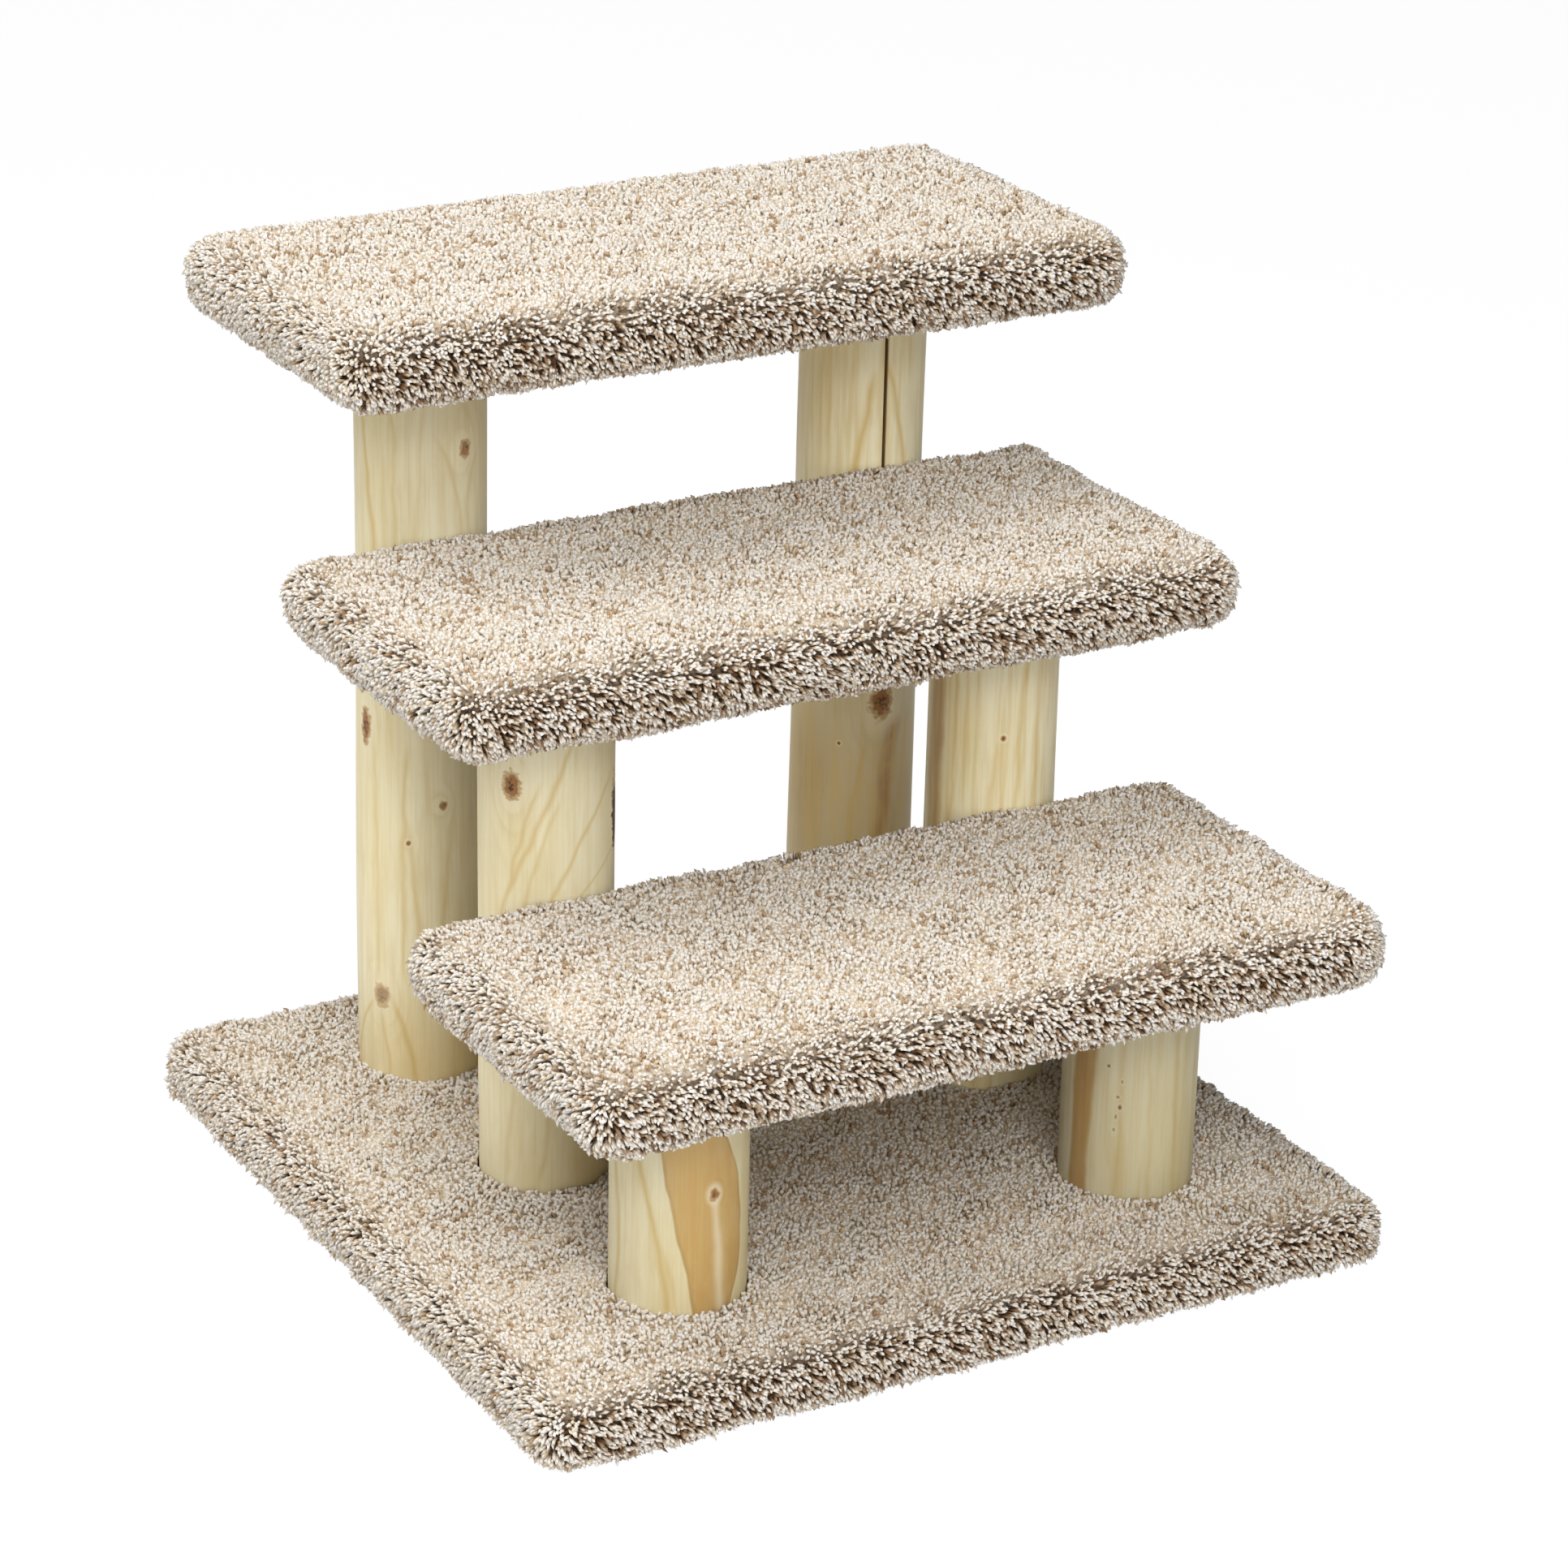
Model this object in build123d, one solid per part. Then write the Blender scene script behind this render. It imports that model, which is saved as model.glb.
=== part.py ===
from build123d import *
from collections import namedtuple
import os

# Carpeted pet stairs. Three carpet-wrapped boards step up towards the back, each on a pair of round timber
# posts that stand on one carpet-wrapped base board. Millimetres, +Z up, +X to the right, and a pet climbs
# from the -Y side. The origin is on the floor under the middle of the base.

# Carpet
backing_thickness = 3.0
pile_height = 16.0
pressed_pile_height = 6.0  # pile under the base, flattened by the weight of the stairs
hem_width = 46.0  # carpet folded under each board
edge_round = 25.0  # how round the pile stands over the long edges
corner_spread = 3.0  # how much rounder it stands at the upright corners, seen from above
foot_round = 12.0  # how round the pile of the base meets the floor
hem_round = 5.0  # how far the pile curves in along the inner edge of a hem
flare_degrees = 45
collar_lean = 4.0  # how far the pile of the base leans away from a post

# Boards
board_thickness = 19.0
base_board_width = 572.0
step_board_depth = 234.0
step_inset = 21.0  # how far the end of a step's board lies inside the end of the base board

# Posts
post_diameter = 87.0
post_end_chamfer = 1.5
post_inset = 101.0  # from the end of a step's board to the axis of its post
post_pitch = 180.0  # from one row of posts to the next
front_post_length = 184.0
middle_post_length = 364.0
rear_post_length = 538.0
tower_shift = 8.0  # the steps and posts stand this far right of the middle of the base

# Drying crack, down the front of the rear right post from its head
crack_length = 150.0
crack_width = 2.4
crack_depth = 20.0
crack_turn_degrees = 8.0  # to the left of straight ahead

# Wood screws
screw_head_diameter = 9.5
screw_head_height = 3.6
screw_shank_diameter = 5.0
screw_tip_length = 7.0
screw_tip_diameter = 1.2
foot_screw_length = 70.0
head_screw_length = 64.0
drive_size = 3.0
drive_depth = 2.4
screw_place_share = 0.45  # of the post's radius, from its axis to each screw
screw_sides = 10

# Staples
staple_crown = 12.0
staple_leg = 12.0
staple_wire = 1.2
staple_pitch = 120.0

# Clearances
post_gap = 0.3  # between carpet and the round side of a post
fastener_gap = 0.15  # round screws and staples
cut_overrun = 2.0

# Worked out from the sizes above
post_radius = post_diameter / 2
carpet_thickness = backing_thickness + pile_height
base_hem_thickness = backing_thickness + pressed_pile_height
post_foot = base_hem_thickness + board_thickness
stand_off = post_radius + post_gap + backing_thickness  # post axis to the edge of the board before it
base_board_depth = 2 * (stand_off + step_board_depth)
step_board_width = base_board_width - 2 * step_inset
post_spread = step_board_width - 2 * post_inset
screw_place = post_radius * screw_place_share

# A deck is one carpeted board: its centre line, width, front edge, depth and underside, and the thickness
# and lower edge rounding of the carpet under it.
Deck = namedtuple("Deck", "x width front depth underside hem_thickness lower_round")
Post = namedtuple("Post", "x y length")

base_deck = Deck(
    x=0,
    width=base_board_width,
    front=-base_board_depth / 2,
    depth=base_board_depth,
    underside=base_hem_thickness,
    hem_thickness=base_hem_thickness,
    lower_round=foot_round,
)


def step_deck(board_back, post_length):
    """A step on posts of one length, with its board's back edge at board_back."""
    return Deck(
        x=tower_shift,
        width=step_board_width,
        front=board_back - step_board_depth,
        depth=step_board_depth,
        underside=post_foot + post_length,
        hem_thickness=carpet_thickness,
        lower_round=edge_round,
    )


# The lower and middle steps butt against the posts behind them, with the pile squeezed flat between.
# The back of the top step is in line with the back of the base, as the front of the lower step is in front.
step_decks = {
    "lower": step_deck(-stand_off, front_post_length),
    "middle": step_deck(post_pitch - stand_off, middle_post_length),
    "top": step_deck(base_board_depth / 2, rear_post_length),
}

post_rows = {
    "front": (-post_pitch, front_post_length),
    "middle": (0, middle_post_length),
    "rear": (post_pitch, rear_post_length),
}
step_of_row = {"front": "lower", "middle": "middle", "rear": "top"}


def row_posts(row):
    """The left and right post of one row."""
    y, length = post_rows[row]
    return {
        "left": Post(tower_shift - post_spread / 2, y, length),
        "right": Post(tower_shift + post_spread / 2, y, length),
    }


all_posts = [post for row in post_rows for post in row_posts(row).values()]


def box_between(low, high):
    """A box from its lowest to its highest corner."""
    size = [b - a for a, b in zip(low, high)]
    middle = [(a + b) / 2 for a, b in zip(low, high)]
    return Pos(*middle) * Box(*size)


def upright_rod(x, y, z_low, z_high, radius):
    """A round rod along Z."""
    return Pos(x, y, (z_low + z_high) / 2) * Cylinder(radius, z_high - z_low)


def placed(places, shape):
    """Copies of one shape at several places."""
    return [place * shape for place in places]


# Screws and staples


def screw_solid(length):
    """A countersunk screw that points down from its head at the origin, with a square drive recess."""
    sections = (
        (0, screw_head_diameter),
        (-screw_head_height, screw_shank_diameter),
        (screw_tip_length - length, screw_shank_diameter),
        (-length, screw_tip_diameter),
    )
    rings = [Pos(0, 0, z) * RegularPolygon(diameter / 2, screw_sides) for z, diameter in sections]
    half = drive_size / 2
    recess = box_between((-half, -half, -drive_depth), (half, half, cut_overrun))
    return loft(rings, ruled=True) - recess


def countersunk_hole():
    """The cut for a screw through a board, open above its head."""
    head = screw_head_diameter / 2 + fastener_gap
    shank = screw_shank_diameter / 2 + fastener_gap
    profile = Polyline(
        (0, cut_overrun),
        (head, cut_overrun),
        (head, 0),
        (shank, -screw_head_height),
        (shank, -board_thickness - cut_overrun),
        (0, -board_thickness - cut_overrun),
        close=True,
    )
    return revolve(Plane.XZ * make_face(profile), axis=Axis.Z)


def pilot_hole(length):
    """The drilled hole for a screw in a post, from the board's far face to just past the screw's tip."""
    radius = screw_shank_diameter / 2 + fastener_gap
    return upright_rod(0, 0, -length - fastener_gap, -board_thickness + cut_overrun, radius)


def foot_places(post):
    """Where the two screws come up into the foot of a post, side by side."""
    upwards = Rot(180, 0, 0)
    return [Pos(post.x + side * screw_place, post.y, base_hem_thickness) * upwards for side in (-1, 1)]


def head_places(post):
    """Where the two screws go down into the head of a post, one behind the other."""
    top = post_foot + post.length + board_thickness
    return [Pos(post.x, post.y + side * screw_place, top) for side in (-1, 1)]


def staple_solid(grow=0):
    """A staple with its crown along X on the origin's plane and its legs up. grow makes the slot for it."""
    half = staple_crown / 2
    wire = staple_wire / 2 + grow
    bottom = -staple_wire - grow
    top = staple_leg - staple_wire + grow
    crown = box_between((-half - grow, -wire, bottom), (half + grow, wire, grow))
    leg_middle = half - staple_wire / 2
    legs = [
        box_between((side * leg_middle - wire, -wire, bottom), (side * leg_middle + wire, wire, top))
        for side in (-1, 1)
    ]
    return crown + legs


def staple_places(deck):
    """Places along the middle of a deck's hem, clear of every post."""
    inset = hem_width / 2
    x_half = deck.width / 2 - inset
    y_half = deck.depth / 2 - inset
    y_middle = deck.front + deck.depth / 2
    z = deck.underside - backing_thickness
    places = []
    for along, across, turn in ((x_half, y_half, 0), (y_half, x_half, 90)):
        count = max(2, round(2 * along / staple_pitch))
        for step in range(count):
            slide = along * ((2 * step + 1) / count - 1)
            for side in (-1, 1):
                x, y = (slide, side * across) if turn == 0 else (side * across, slide)
                places.append((deck.x + x, y_middle + y, z, turn))
    room = post_radius + staple_crown
    return [
        Pos(x, y, z) * Rot(0, 0, turn)
        for x, y, z, turn in places
        if all(max(abs(x - post.x), abs(y - post.y)) > room for post in all_posts)
    ]


# Posts


def drying_crack(post):
    """A wedge that opens towards the front of a post, from above its head downwards."""
    reach = post_radius + cut_overrun
    mouth = crack_width / 2
    outline = Polyline((0, crack_depth - post_radius), (-mouth, -reach), (mouth, -reach), close=True)
    wedge = extrude(make_face(outline), crack_length + cut_overrun)
    start = post_foot + post.length - crack_length
    return Pos(post.x, post.y, start) * Rot(0, 0, -crack_turn_degrees) * wedge


def post_solid(post, cracked):
    """A round post with eased ends and a hole for each of its screws."""
    rod = Cylinder(post_radius, post.length)
    rod = chamfer(rod.edges().filter_by(GeomType.CIRCLE), post_end_chamfer)
    rod = Pos(post.x, post.y, post_foot + post.length / 2) * rod
    rod -= placed(foot_places(post), pilot_hole(foot_screw_length))
    rod -= placed(head_places(post), pilot_hole(head_screw_length))
    if cracked:
        rod -= drying_crack(post)
    return rod


# Boards and their carpet


def board_box(deck):
    """The board of a deck, before it is drilled."""
    half = deck.width / 2
    return box_between(
        (deck.x - half, deck.front, deck.underside),
        (deck.x + half, deck.front + deck.depth, deck.underside + board_thickness),
    )


def carpet_envelope(deck):
    """The outer shape of the pile: a slab that is round over its edges and corners."""
    width = deck.width + 2 * carpet_thickness
    depth = deck.depth + 2 * carpet_thickness
    height = deck.hem_thickness + board_thickness + carpet_thickness
    outline = RectangleRounded(width, depth, edge_round + corner_spread)
    floor = deck.underside - deck.hem_thickness
    slab = Pos(deck.x, deck.front + deck.depth / 2, floor) * extrude(outline, height)
    rounds = edge_round + deck.lower_round
    upper_round = min(edge_round, height * edge_round / rounds - post_gap)
    lower_round = min(deck.lower_round, height * deck.lower_round / rounds - post_gap)
    slab = fillet(slab.faces().sort_by(Axis.Z)[-1].edges(), upper_round)
    return fillet(slab.faces().sort_by(Axis.Z)[0].edges(), lower_round)


def hem_opening(deck):
    """The open middle of a deck's underside, flared where the folded pile curves in."""
    width = deck.width - 2 * hem_width
    depth = deck.depth - 2 * hem_width
    y_middle = deck.front + deck.depth / 2
    floor = deck.underside - deck.hem_thickness
    block = Pos(deck.x, y_middle, floor - cut_overrun) * extrude(
        Rectangle(width, depth), deck.hem_thickness + cut_overrun
    )
    flare = Pos(deck.x, y_middle, floor) * extrude(
        Rectangle(width + 2 * hem_round, depth + 2 * hem_round), hem_round, taper=flare_degrees
    )
    return block + flare


def post_passage(post):
    """The room a post takes through a carpet."""
    return upright_rod(post.x, post.y, post_foot, post_foot + post.length, post_radius + post_gap)


def carpet_solid(deck, collars=False):
    """Carpet wrapped over a board and folded under it, cut round the posts, with slots for the staples."""
    carpet = carpet_envelope(deck) - board_box(deck) - hem_opening(deck)
    carpet -= [post_passage(post) for post in all_posts]
    if collars:
        mouths = carpet.faces().sort_by(Axis.Z)[-1].edges().filter_by(GeomType.CIRCLE)
        mouths = [edge for edge in mouths if abs(edge.radius - post_radius - post_gap) < post_gap]
        carpet = chamfer(mouths, collar_lean)
    return carpet - placed(staple_places(deck), staple_solid(fastener_gap))


def board_solid(deck, screw_places):
    """The board of a deck with its screw holes and the slits that the staples' legs make."""
    slits = placed(staple_places(deck), staple_solid(fastener_gap))
    return board_box(deck) - placed(screw_places, countersunk_hole()) - slits


# All nodes


def build_nodes():
    """Every node's name with its solids."""
    nodes = {}
    all_feet = [place for post in all_posts for place in foot_places(post)]
    nodes["base_board"] = board_solid(base_deck, all_feet)
    nodes["base_carpet"] = carpet_solid(base_deck, collars=True)
    nodes["base_hem_staples"] = placed(staple_places(base_deck), staple_solid())
    for row, step in step_of_row.items():
        posts = row_posts(row)
        deck = step_decks[step]
        feet = [place for post in posts.values() for place in foot_places(post)]
        heads = [place for post in posts.values() for place in head_places(post)]
        for side, post in posts.items():
            nodes[f"{row}_{side}_post"] = post_solid(post, cracked=(row, side) == ("rear", "right"))
        nodes[f"{step}_step_board"] = board_solid(deck, heads)
        nodes[f"{step}_step_carpet"] = carpet_solid(deck)
        nodes[f"{step}_hem_staples"] = placed(staple_places(deck), staple_solid())
        nodes[f"{row}_post_foot_screws"] = placed(feet, screw_solid(foot_screw_length))
        nodes[f"{step}_step_screws"] = placed(heads, screw_solid(head_screw_length))
    return nodes


os.makedirs("parts", exist_ok=True)
for name, shape in build_nodes().items():
    solids = [solid for piece in (shape if isinstance(shape, list) else [shape]) for solid in piece.solids()]
    export_step(Compound(solids) if len(solids) > 1 else solids[0], f"parts/{name}.step")
    print(name, len(solids))
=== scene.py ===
import math

import bpy
import numpy as np
from mathutils import Matrix, Vector


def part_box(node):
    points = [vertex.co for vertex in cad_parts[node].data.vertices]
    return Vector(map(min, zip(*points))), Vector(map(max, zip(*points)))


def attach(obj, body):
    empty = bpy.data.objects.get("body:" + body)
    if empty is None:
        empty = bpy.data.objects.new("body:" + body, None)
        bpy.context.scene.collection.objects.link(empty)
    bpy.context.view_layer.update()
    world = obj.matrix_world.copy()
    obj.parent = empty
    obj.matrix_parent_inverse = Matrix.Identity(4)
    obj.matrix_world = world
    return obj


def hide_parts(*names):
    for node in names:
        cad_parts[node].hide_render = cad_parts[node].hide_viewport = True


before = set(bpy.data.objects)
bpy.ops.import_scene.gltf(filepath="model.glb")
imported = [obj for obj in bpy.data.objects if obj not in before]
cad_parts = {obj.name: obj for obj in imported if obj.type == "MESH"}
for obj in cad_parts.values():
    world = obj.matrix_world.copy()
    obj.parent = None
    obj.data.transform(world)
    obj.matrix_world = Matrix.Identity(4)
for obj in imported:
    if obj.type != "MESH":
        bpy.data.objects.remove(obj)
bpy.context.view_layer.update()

rootBody = "root"
print("frame loaded with", len(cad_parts), "nodes")


# Camera, lamps and floor

cameraValues = {
    "azimuth": -29.96,       # degrees, 0 looks along +Y
    "elevation": 22.52,
    "roll": 1.33,
    "distance": 3.2246,      # metres from the point aimed at
    "target": (0.0862, 0.1230, 0.2167),
    "lens": 109.59,          # mm
    "sensor": 36,            # mm
}

lampValues = {
    "target": (0, 0, 0.3),
    "distance": 3.4,
    "boxes": {               # azimuth, elevation, size and power of each square lamp
        "topBox": (-90, 70, 2.0, 38),
        "leftBox": (-112, 45, 2.2, 61),
        "frontBox": (-20, 45, 2.0, 73),
        "lowBox": (-20, 20, 2.0, 41),
    },
}

studioValues = {
    "floorSize": 60.0,
    "floorColour": (240, 240, 240),
    "floorGlow": 0.90,       # how much of the floor the camera sees as plain white
    "glowStrength": 1.06,
    "skyLevel": 0.03,        # the sky's strength on the object
}


def addObject(name, data):
    made = bpy.data.objects.new(name, data)
    bpy.context.scene.collection.objects.link(made)
    return made


def directionBack(azimuth, elevation):
    # Unit vector from the object towards a place at that azimuth and elevation.
    a = math.radians(azimuth)
    e = math.radians(elevation)
    return Vector((math.sin(a) * math.cos(e), -math.cos(a) * math.cos(e), math.sin(e)))


def makeCamera(values):
    back = directionBack(values["azimuth"], values["elevation"])
    a = math.radians(values["azimuth"])
    level = Vector((math.cos(a), math.sin(a), 0))
    upright = back.cross(level)
    roll = math.radians(values["roll"])
    right = level * math.cos(roll) + upright * math.sin(roll)
    up = upright * math.cos(roll) - level * math.sin(roll)
    data = bpy.data.cameras.new("camera")
    data.sensor_width = values["sensor"]
    data.lens = values["lens"]
    data.clip_start = 0.1
    data.clip_end = 200
    camera = addObject("camera", data)
    place = Vector(values["target"]) + back * values["distance"]
    camera.matrix_world = Matrix.Translation(place) @ Matrix((right, up, back)).transposed().to_4x4()
    bpy.context.scene.camera = camera


def makeLamps(values):
    for name, (azimuth, elevation, size, power) in values["boxes"].items():
        data = bpy.data.lights.new(name, "AREA")
        data.shape = "SQUARE"
        data.size = size
        data.energy = power
        lamp = addObject(name, data)
        back = directionBack(azimuth, elevation)
        lamp.location = Vector(values["target"]) + back * values["distance"]
        lamp.rotation_euler = back.to_track_quat("Z", "Y").to_euler()


# Shader nodes. A value is a socket, which is linked, or a number or vector, which is set. Colours are
# sockets or screen values of 0 to 255. A helper finds its node tree from the sockets that it is given.

def rgb(tint):
    # Screen values as the linear colour that sockets take.
    share = np.array(tint) / 255.0
    linear = np.where(share <= 0.04045, share / 12.92, ((share + 0.055) / 1.055) ** 2.4)
    return (*linear.tolist(), 1.0)


def isSocket(value):
    return isinstance(value, bpy.types.NodeSocket)


def fill(made, inputs):
    for key, value in inputs.items():
        if isSocket(value):
            made.id_data.links.new(value, made.inputs[key])
        else:
            made.inputs[key].default_value = value
    return made


def node(tree, kind, inputs=None, **settings):
    made = tree.nodes.new("ShaderNode" + kind)
    for key, value in settings.items():
        setattr(made, key, value)
    return fill(made, inputs or {})


def treeOf(*values):
    return next(value.id_data for value in values if isSocket(value))


def maths(operation, *values):
    return node(treeOf(*values), "Math", dict(enumerate(values)), operation=operation).outputs[0]


def times(first, second):
    return maths("MULTIPLY", first, second)


def timesPlus(first, second, third):
    return maths("MULTIPLY_ADD", first, second, third)


def minus(first, second):
    return maths("SUBTRACT", first, second)


def fromAxis(x, y):
    return maths("SQRT", timesPlus(x, x, times(y, y)))


def smoothStep(value, low, high):
    # 0 below low, 1 above high and an S curve between them.
    inputs = {"Value": value, "From Min": low, "From Max": high}
    return node(treeOf(value), "MapRange", inputs, interpolation_type="SMOOTHSTEP").outputs["Result"]


def vectors(operation, *values):
    return node(treeOf(*values), "VectorMath", dict(enumerate(values)), operation=operation).outputs


def drawn(place, *factors):
    # The place with each axis times its factor. A small factor draws a pattern out along that axis.
    return vectors("MULTIPLY", place, factors)[0]


def parts(vector):
    return node(treeOf(vector), "SeparateXYZ", {0: vector}).outputs


def mapped(place, **moves):
    return node(treeOf(place), "Mapping", {"Vector": place, **moves}).outputs[0]


def noise(place, scale, detail=2.0, roughness=0.5):
    inputs = {"Vector": place, "Scale": scale, "Detail": detail, "Roughness": roughness}
    return node(treeOf(place), "TexNoise", inputs).outputs[0]


def bump(height, strength, distance):
    inputs = {"Height": height, "Strength": strength, "Distance": distance}
    return node(treeOf(height), "Bump", inputs).outputs[0]


def mixColour(share, first, second, blend="MIX"):
    made = node(treeOf(share, first, second), "Mix", data_type="RGBA", blend_type=blend)
    first, second = (value if isSocket(value) else rgb(value) for value in (first, second))
    return fill(made, {0: share, 6: first, 7: second}).outputs[2]


def layer(colour, tint, mask, share=1.0):
    # The colour with a tint laid over it by a mask times a share.
    return mixColour(mask if share == 1.0 else times(mask, share), colour, tint)


def colourRamp(value, stops):
    made = node(treeOf(value), "ValToRGB", {"Fac": value})
    for number, (place, tint) in enumerate(stops):
        spare = made.color_ramp.elements
        stop = spare[number] if number < 2 else spare.new(place)
        stop.position = place
        stop.color = rgb(tint)
    return made.outputs["Color"]


def newMaterial(name):
    material = bpy.data.materials.new(name)
    material.use_nodes = True
    tree = material.node_tree
    tree.nodes.clear()
    shader = node(tree, "BsdfPrincipled")
    node(tree, "OutputMaterial", {"Surface": shader.outputs[0]})
    return material, tree, shader


def mixShader(tree, share, shader, other):
    # Shows a share of another shader with the material's first one.
    mixed = node(tree, "MixShader", {0: share, 1: shader.outputs[0], 2: other.outputs[0]})
    fill(tree.nodes["Material Output"], {"Surface": mixed.outputs[0]})


def solidPlace(tree):
    return node(tree, "TexCoord").outputs["Object"]


def skinPlace(tree):
    return node(tree, "UVMap", uv_map="OFBake").outputs[0]


def newGroup(name, inputs, outputs):
    # Inputs are numbers or vectors by their labels, and outputs are labels of numbers.
    tree = bpy.data.node_groups.new(name, "ShaderNodeTree")
    for label, value in inputs.items():
        kind = "NodeSocketVector" if isinstance(value, tuple) else "NodeSocketFloat"
        tree.interface.new_socket(name=label, in_out="INPUT", socket_type=kind).default_value = value
    for label in outputs:
        tree.interface.new_socket(name=label, in_out="OUTPUT", socket_type="NodeSocketFloat")
    return tree, tree.nodes.new("NodeGroupInput").outputs, tree.nodes.new("NodeGroupOutput")


def useGroup(tree, group, inputs):
    return node(tree, "Group", inputs, node_tree=group).outputs


def whereSeen(tree, *rays):
    # 1 where a ray of one of these kinds arrives, else 0.
    path = node(tree, "LightPath").outputs
    seen = path[rays[0]]
    for ray in rays[1:]:
        seen = maths("MAXIMUM", seen, path[ray])
    return seen


def makeStudio(values):
    half = values["floorSize"] / 2
    mesh = bpy.data.meshes.new("floor")
    corners = [(-half, -half, 0), (half, -half, 0), (half, half, 0), (-half, half, 0)]
    mesh.from_pydata(corners, [], [(0, 1, 2, 3)])
    floor = addObject("floor", mesh)
    material, tree, shader = newMaterial("paleFloor")
    fill(shader, {"Base Color": rgb(values["floorColour"]), "Roughness": 0.9})
    share = times(whereSeen(tree, "Is Camera Ray", "Is Glossy Ray"), values["floorGlow"])
    glow = node(tree, "Emission", {"Color": (1, 1, 1, 1), "Strength": values["glowStrength"]})
    mixShader(tree, share, shader, glow)
    mesh.materials.append(material)
    world = bpy.data.worlds.new("studio")
    bpy.context.scene.world = world
    world.use_nodes = True
    sky = world.node_tree
    sky.nodes.clear()
    bright = whereSeen(sky, "Is Camera Ray", "Is Glossy Ray", "Is Transmission Ray")
    strength = node(sky, "MapRange", {"Value": bright, "To Min": values["skyLevel"]})
    shown = node(sky, "Background", {"Color": (1, 1, 1, 1), "Strength": strength.outputs[0]})
    node(sky, "OutputWorld", {"Surface": shown.outputs[0]})


makeCamera(cameraValues)
makeLamps(lampValues)
makeStudio(studioValues)
bpy.context.scene.view_settings.view_transform = "Standard"
print("camera, lamps and floor ready")


# Meshes from arrays

def meshFrom(name, places, corners, sizes, uv=None, flat=False):
    # A mesh from places (n x 3), the corner numbers of all faces in a row and each face's corner count.
    mesh = bpy.data.meshes.new(name)
    mesh.vertices.add(len(places))
    mesh.vertices.foreach_set("co", places.astype(np.float32).ravel())
    mesh.loops.add(len(corners))
    mesh.loops.foreach_set("vertex_index", corners.astype(np.int32))
    mesh.polygons.add(len(sizes))
    mesh.polygons.foreach_set("loop_start", (np.cumsum(sizes) - sizes).astype(np.int32))
    mesh.update(calc_edges=True)
    if not flat:
        mesh.polygons.foreach_set("use_smooth", np.ones(len(sizes), bool))
    if uv is not None:
        layerOfUv = mesh.uv_layers.new(name="OFBake")
        layerOfUv.uv.foreach_set("vector", uv.astype(np.float32).ravel())
    mesh.update()
    return addObject(name, mesh)


def tubeFaces(rows, columns):
    # Quads between closed rows of points that are numbered round one row after another.
    row = np.arange(rows - 1)[:, None] * columns
    here = np.arange(columns)[None]
    after = (here + 1) % columns
    return np.stack([row + here, row + after, row + columns + after, row + columns + here], axis=2)


def tubeUv(near, far, up):
    # The same quads unwrapped: each column lies from near to far across, and each row of points at its up.
    shape = (len(up) - 1, len(near))
    across = [np.broadcast_to(v, shape) for v in (near, far, far, near)]
    along = [np.broadcast_to(v[:, None], shape) for v in (up[:-1], up[:-1], up[1:], up[1:])]
    return np.stack([np.stack(across, axis=2), np.stack(along, axis=2)], axis=3).reshape(-1, 2)


def fanFaces(start, columns, hub):
    # Triangles from a closed row of points, numbered from start, to one point.
    here = np.arange(columns)
    return np.stack([start + here, start + (here + 1) % columns, np.full(columns, hub)], axis=1)


def finishPiece(piece, material, slot, *nodes):
    piece.data.materials.append(material)
    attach(piece, rootBody)
    if nodes:
        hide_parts(*nodes)
    return piece


def unit(ways):
    return ways / np.maximum(np.linalg.norm(ways, axis=-1, keepdims=True), 1e-9)


def softWaves(places, wavelength, rng, count=10):
    # An even, seeded swell over space: a sum of sine waves in random directions, about -1 to 1.
    way = unit(rng.normal(size=(count, 3)))
    way *= 2 * math.pi / (wavelength * rng.uniform(0.7, 1.5, (count, 1)))
    phase = rng.uniform(0, 2 * math.pi, count)
    return np.sin(places @ way.T + phase).sum(axis=1) / math.sqrt(count / 2)


# Decks: the base and the three steps, each a board wrapped in carpet

deckValues = {
    "backing": 0.003,
    "topRound": 0.025,
    "cornerRound": 0.028,
    "stepLowRound": 0.025,
    "baseLowRound": 0.012,
    "hemWidth": 0.046,
}


def readDeck(name):
    # A deck's sizes from its CAD boxes. Flat start and hem end are distances along the carpet's section
    # from the edge of its flat top: to the flat underside and to the end of the hem.
    values = deckValues
    isBase = name == "base"
    prefix = name if isBase else name + "_step"
    low, high = (np.array(v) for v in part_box(prefix + "_carpet"))
    boardLow, boardHigh = (np.array(v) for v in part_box(prefix + "_board"))
    half = (high - low)[:2] / 2
    topRound = values["topRound"]
    lowRound = values["baseLowRound" if isBase else "stepLowRound"]
    side = high[2] - low[2] - topRound - lowRound
    flatStart = (topRound + lowRound) * math.pi / 2 + side
    return {
        "name": prefix,
        "isBase": isBase,
        "middle": (boardLow + boardHigh) / 2,
        "top": high[2],
        "boardLow": boardLow,
        "boardHigh": boardHigh,
        "flat": half - topRound,
        "corner": values["cornerRound"] - topRound,
        "lowRound": lowRound,
        "side": side,
        "flatStart": flatStart,
        "hemEnd": flatStart + (values["hemWidth"] + (boardLow[0] - low[0]) - lowRound),
    }


decks = [readDeck(name) for name in ("base", "lower", "middle", "top")]

posts = {}
for row in ("front", "middle", "rear"):
    for side in ("left", "right"):
        low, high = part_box(f"{row}_{side}_post")
        posts[f"{row}_{side}_post"] = {
            "x": (low.x + high.x) / 2,
            "y": (low.y + high.y) / 2,
            "radius": (high.x - low.x) / 2,
            "foot": low.z,
            "top": high.z,
        }


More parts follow.
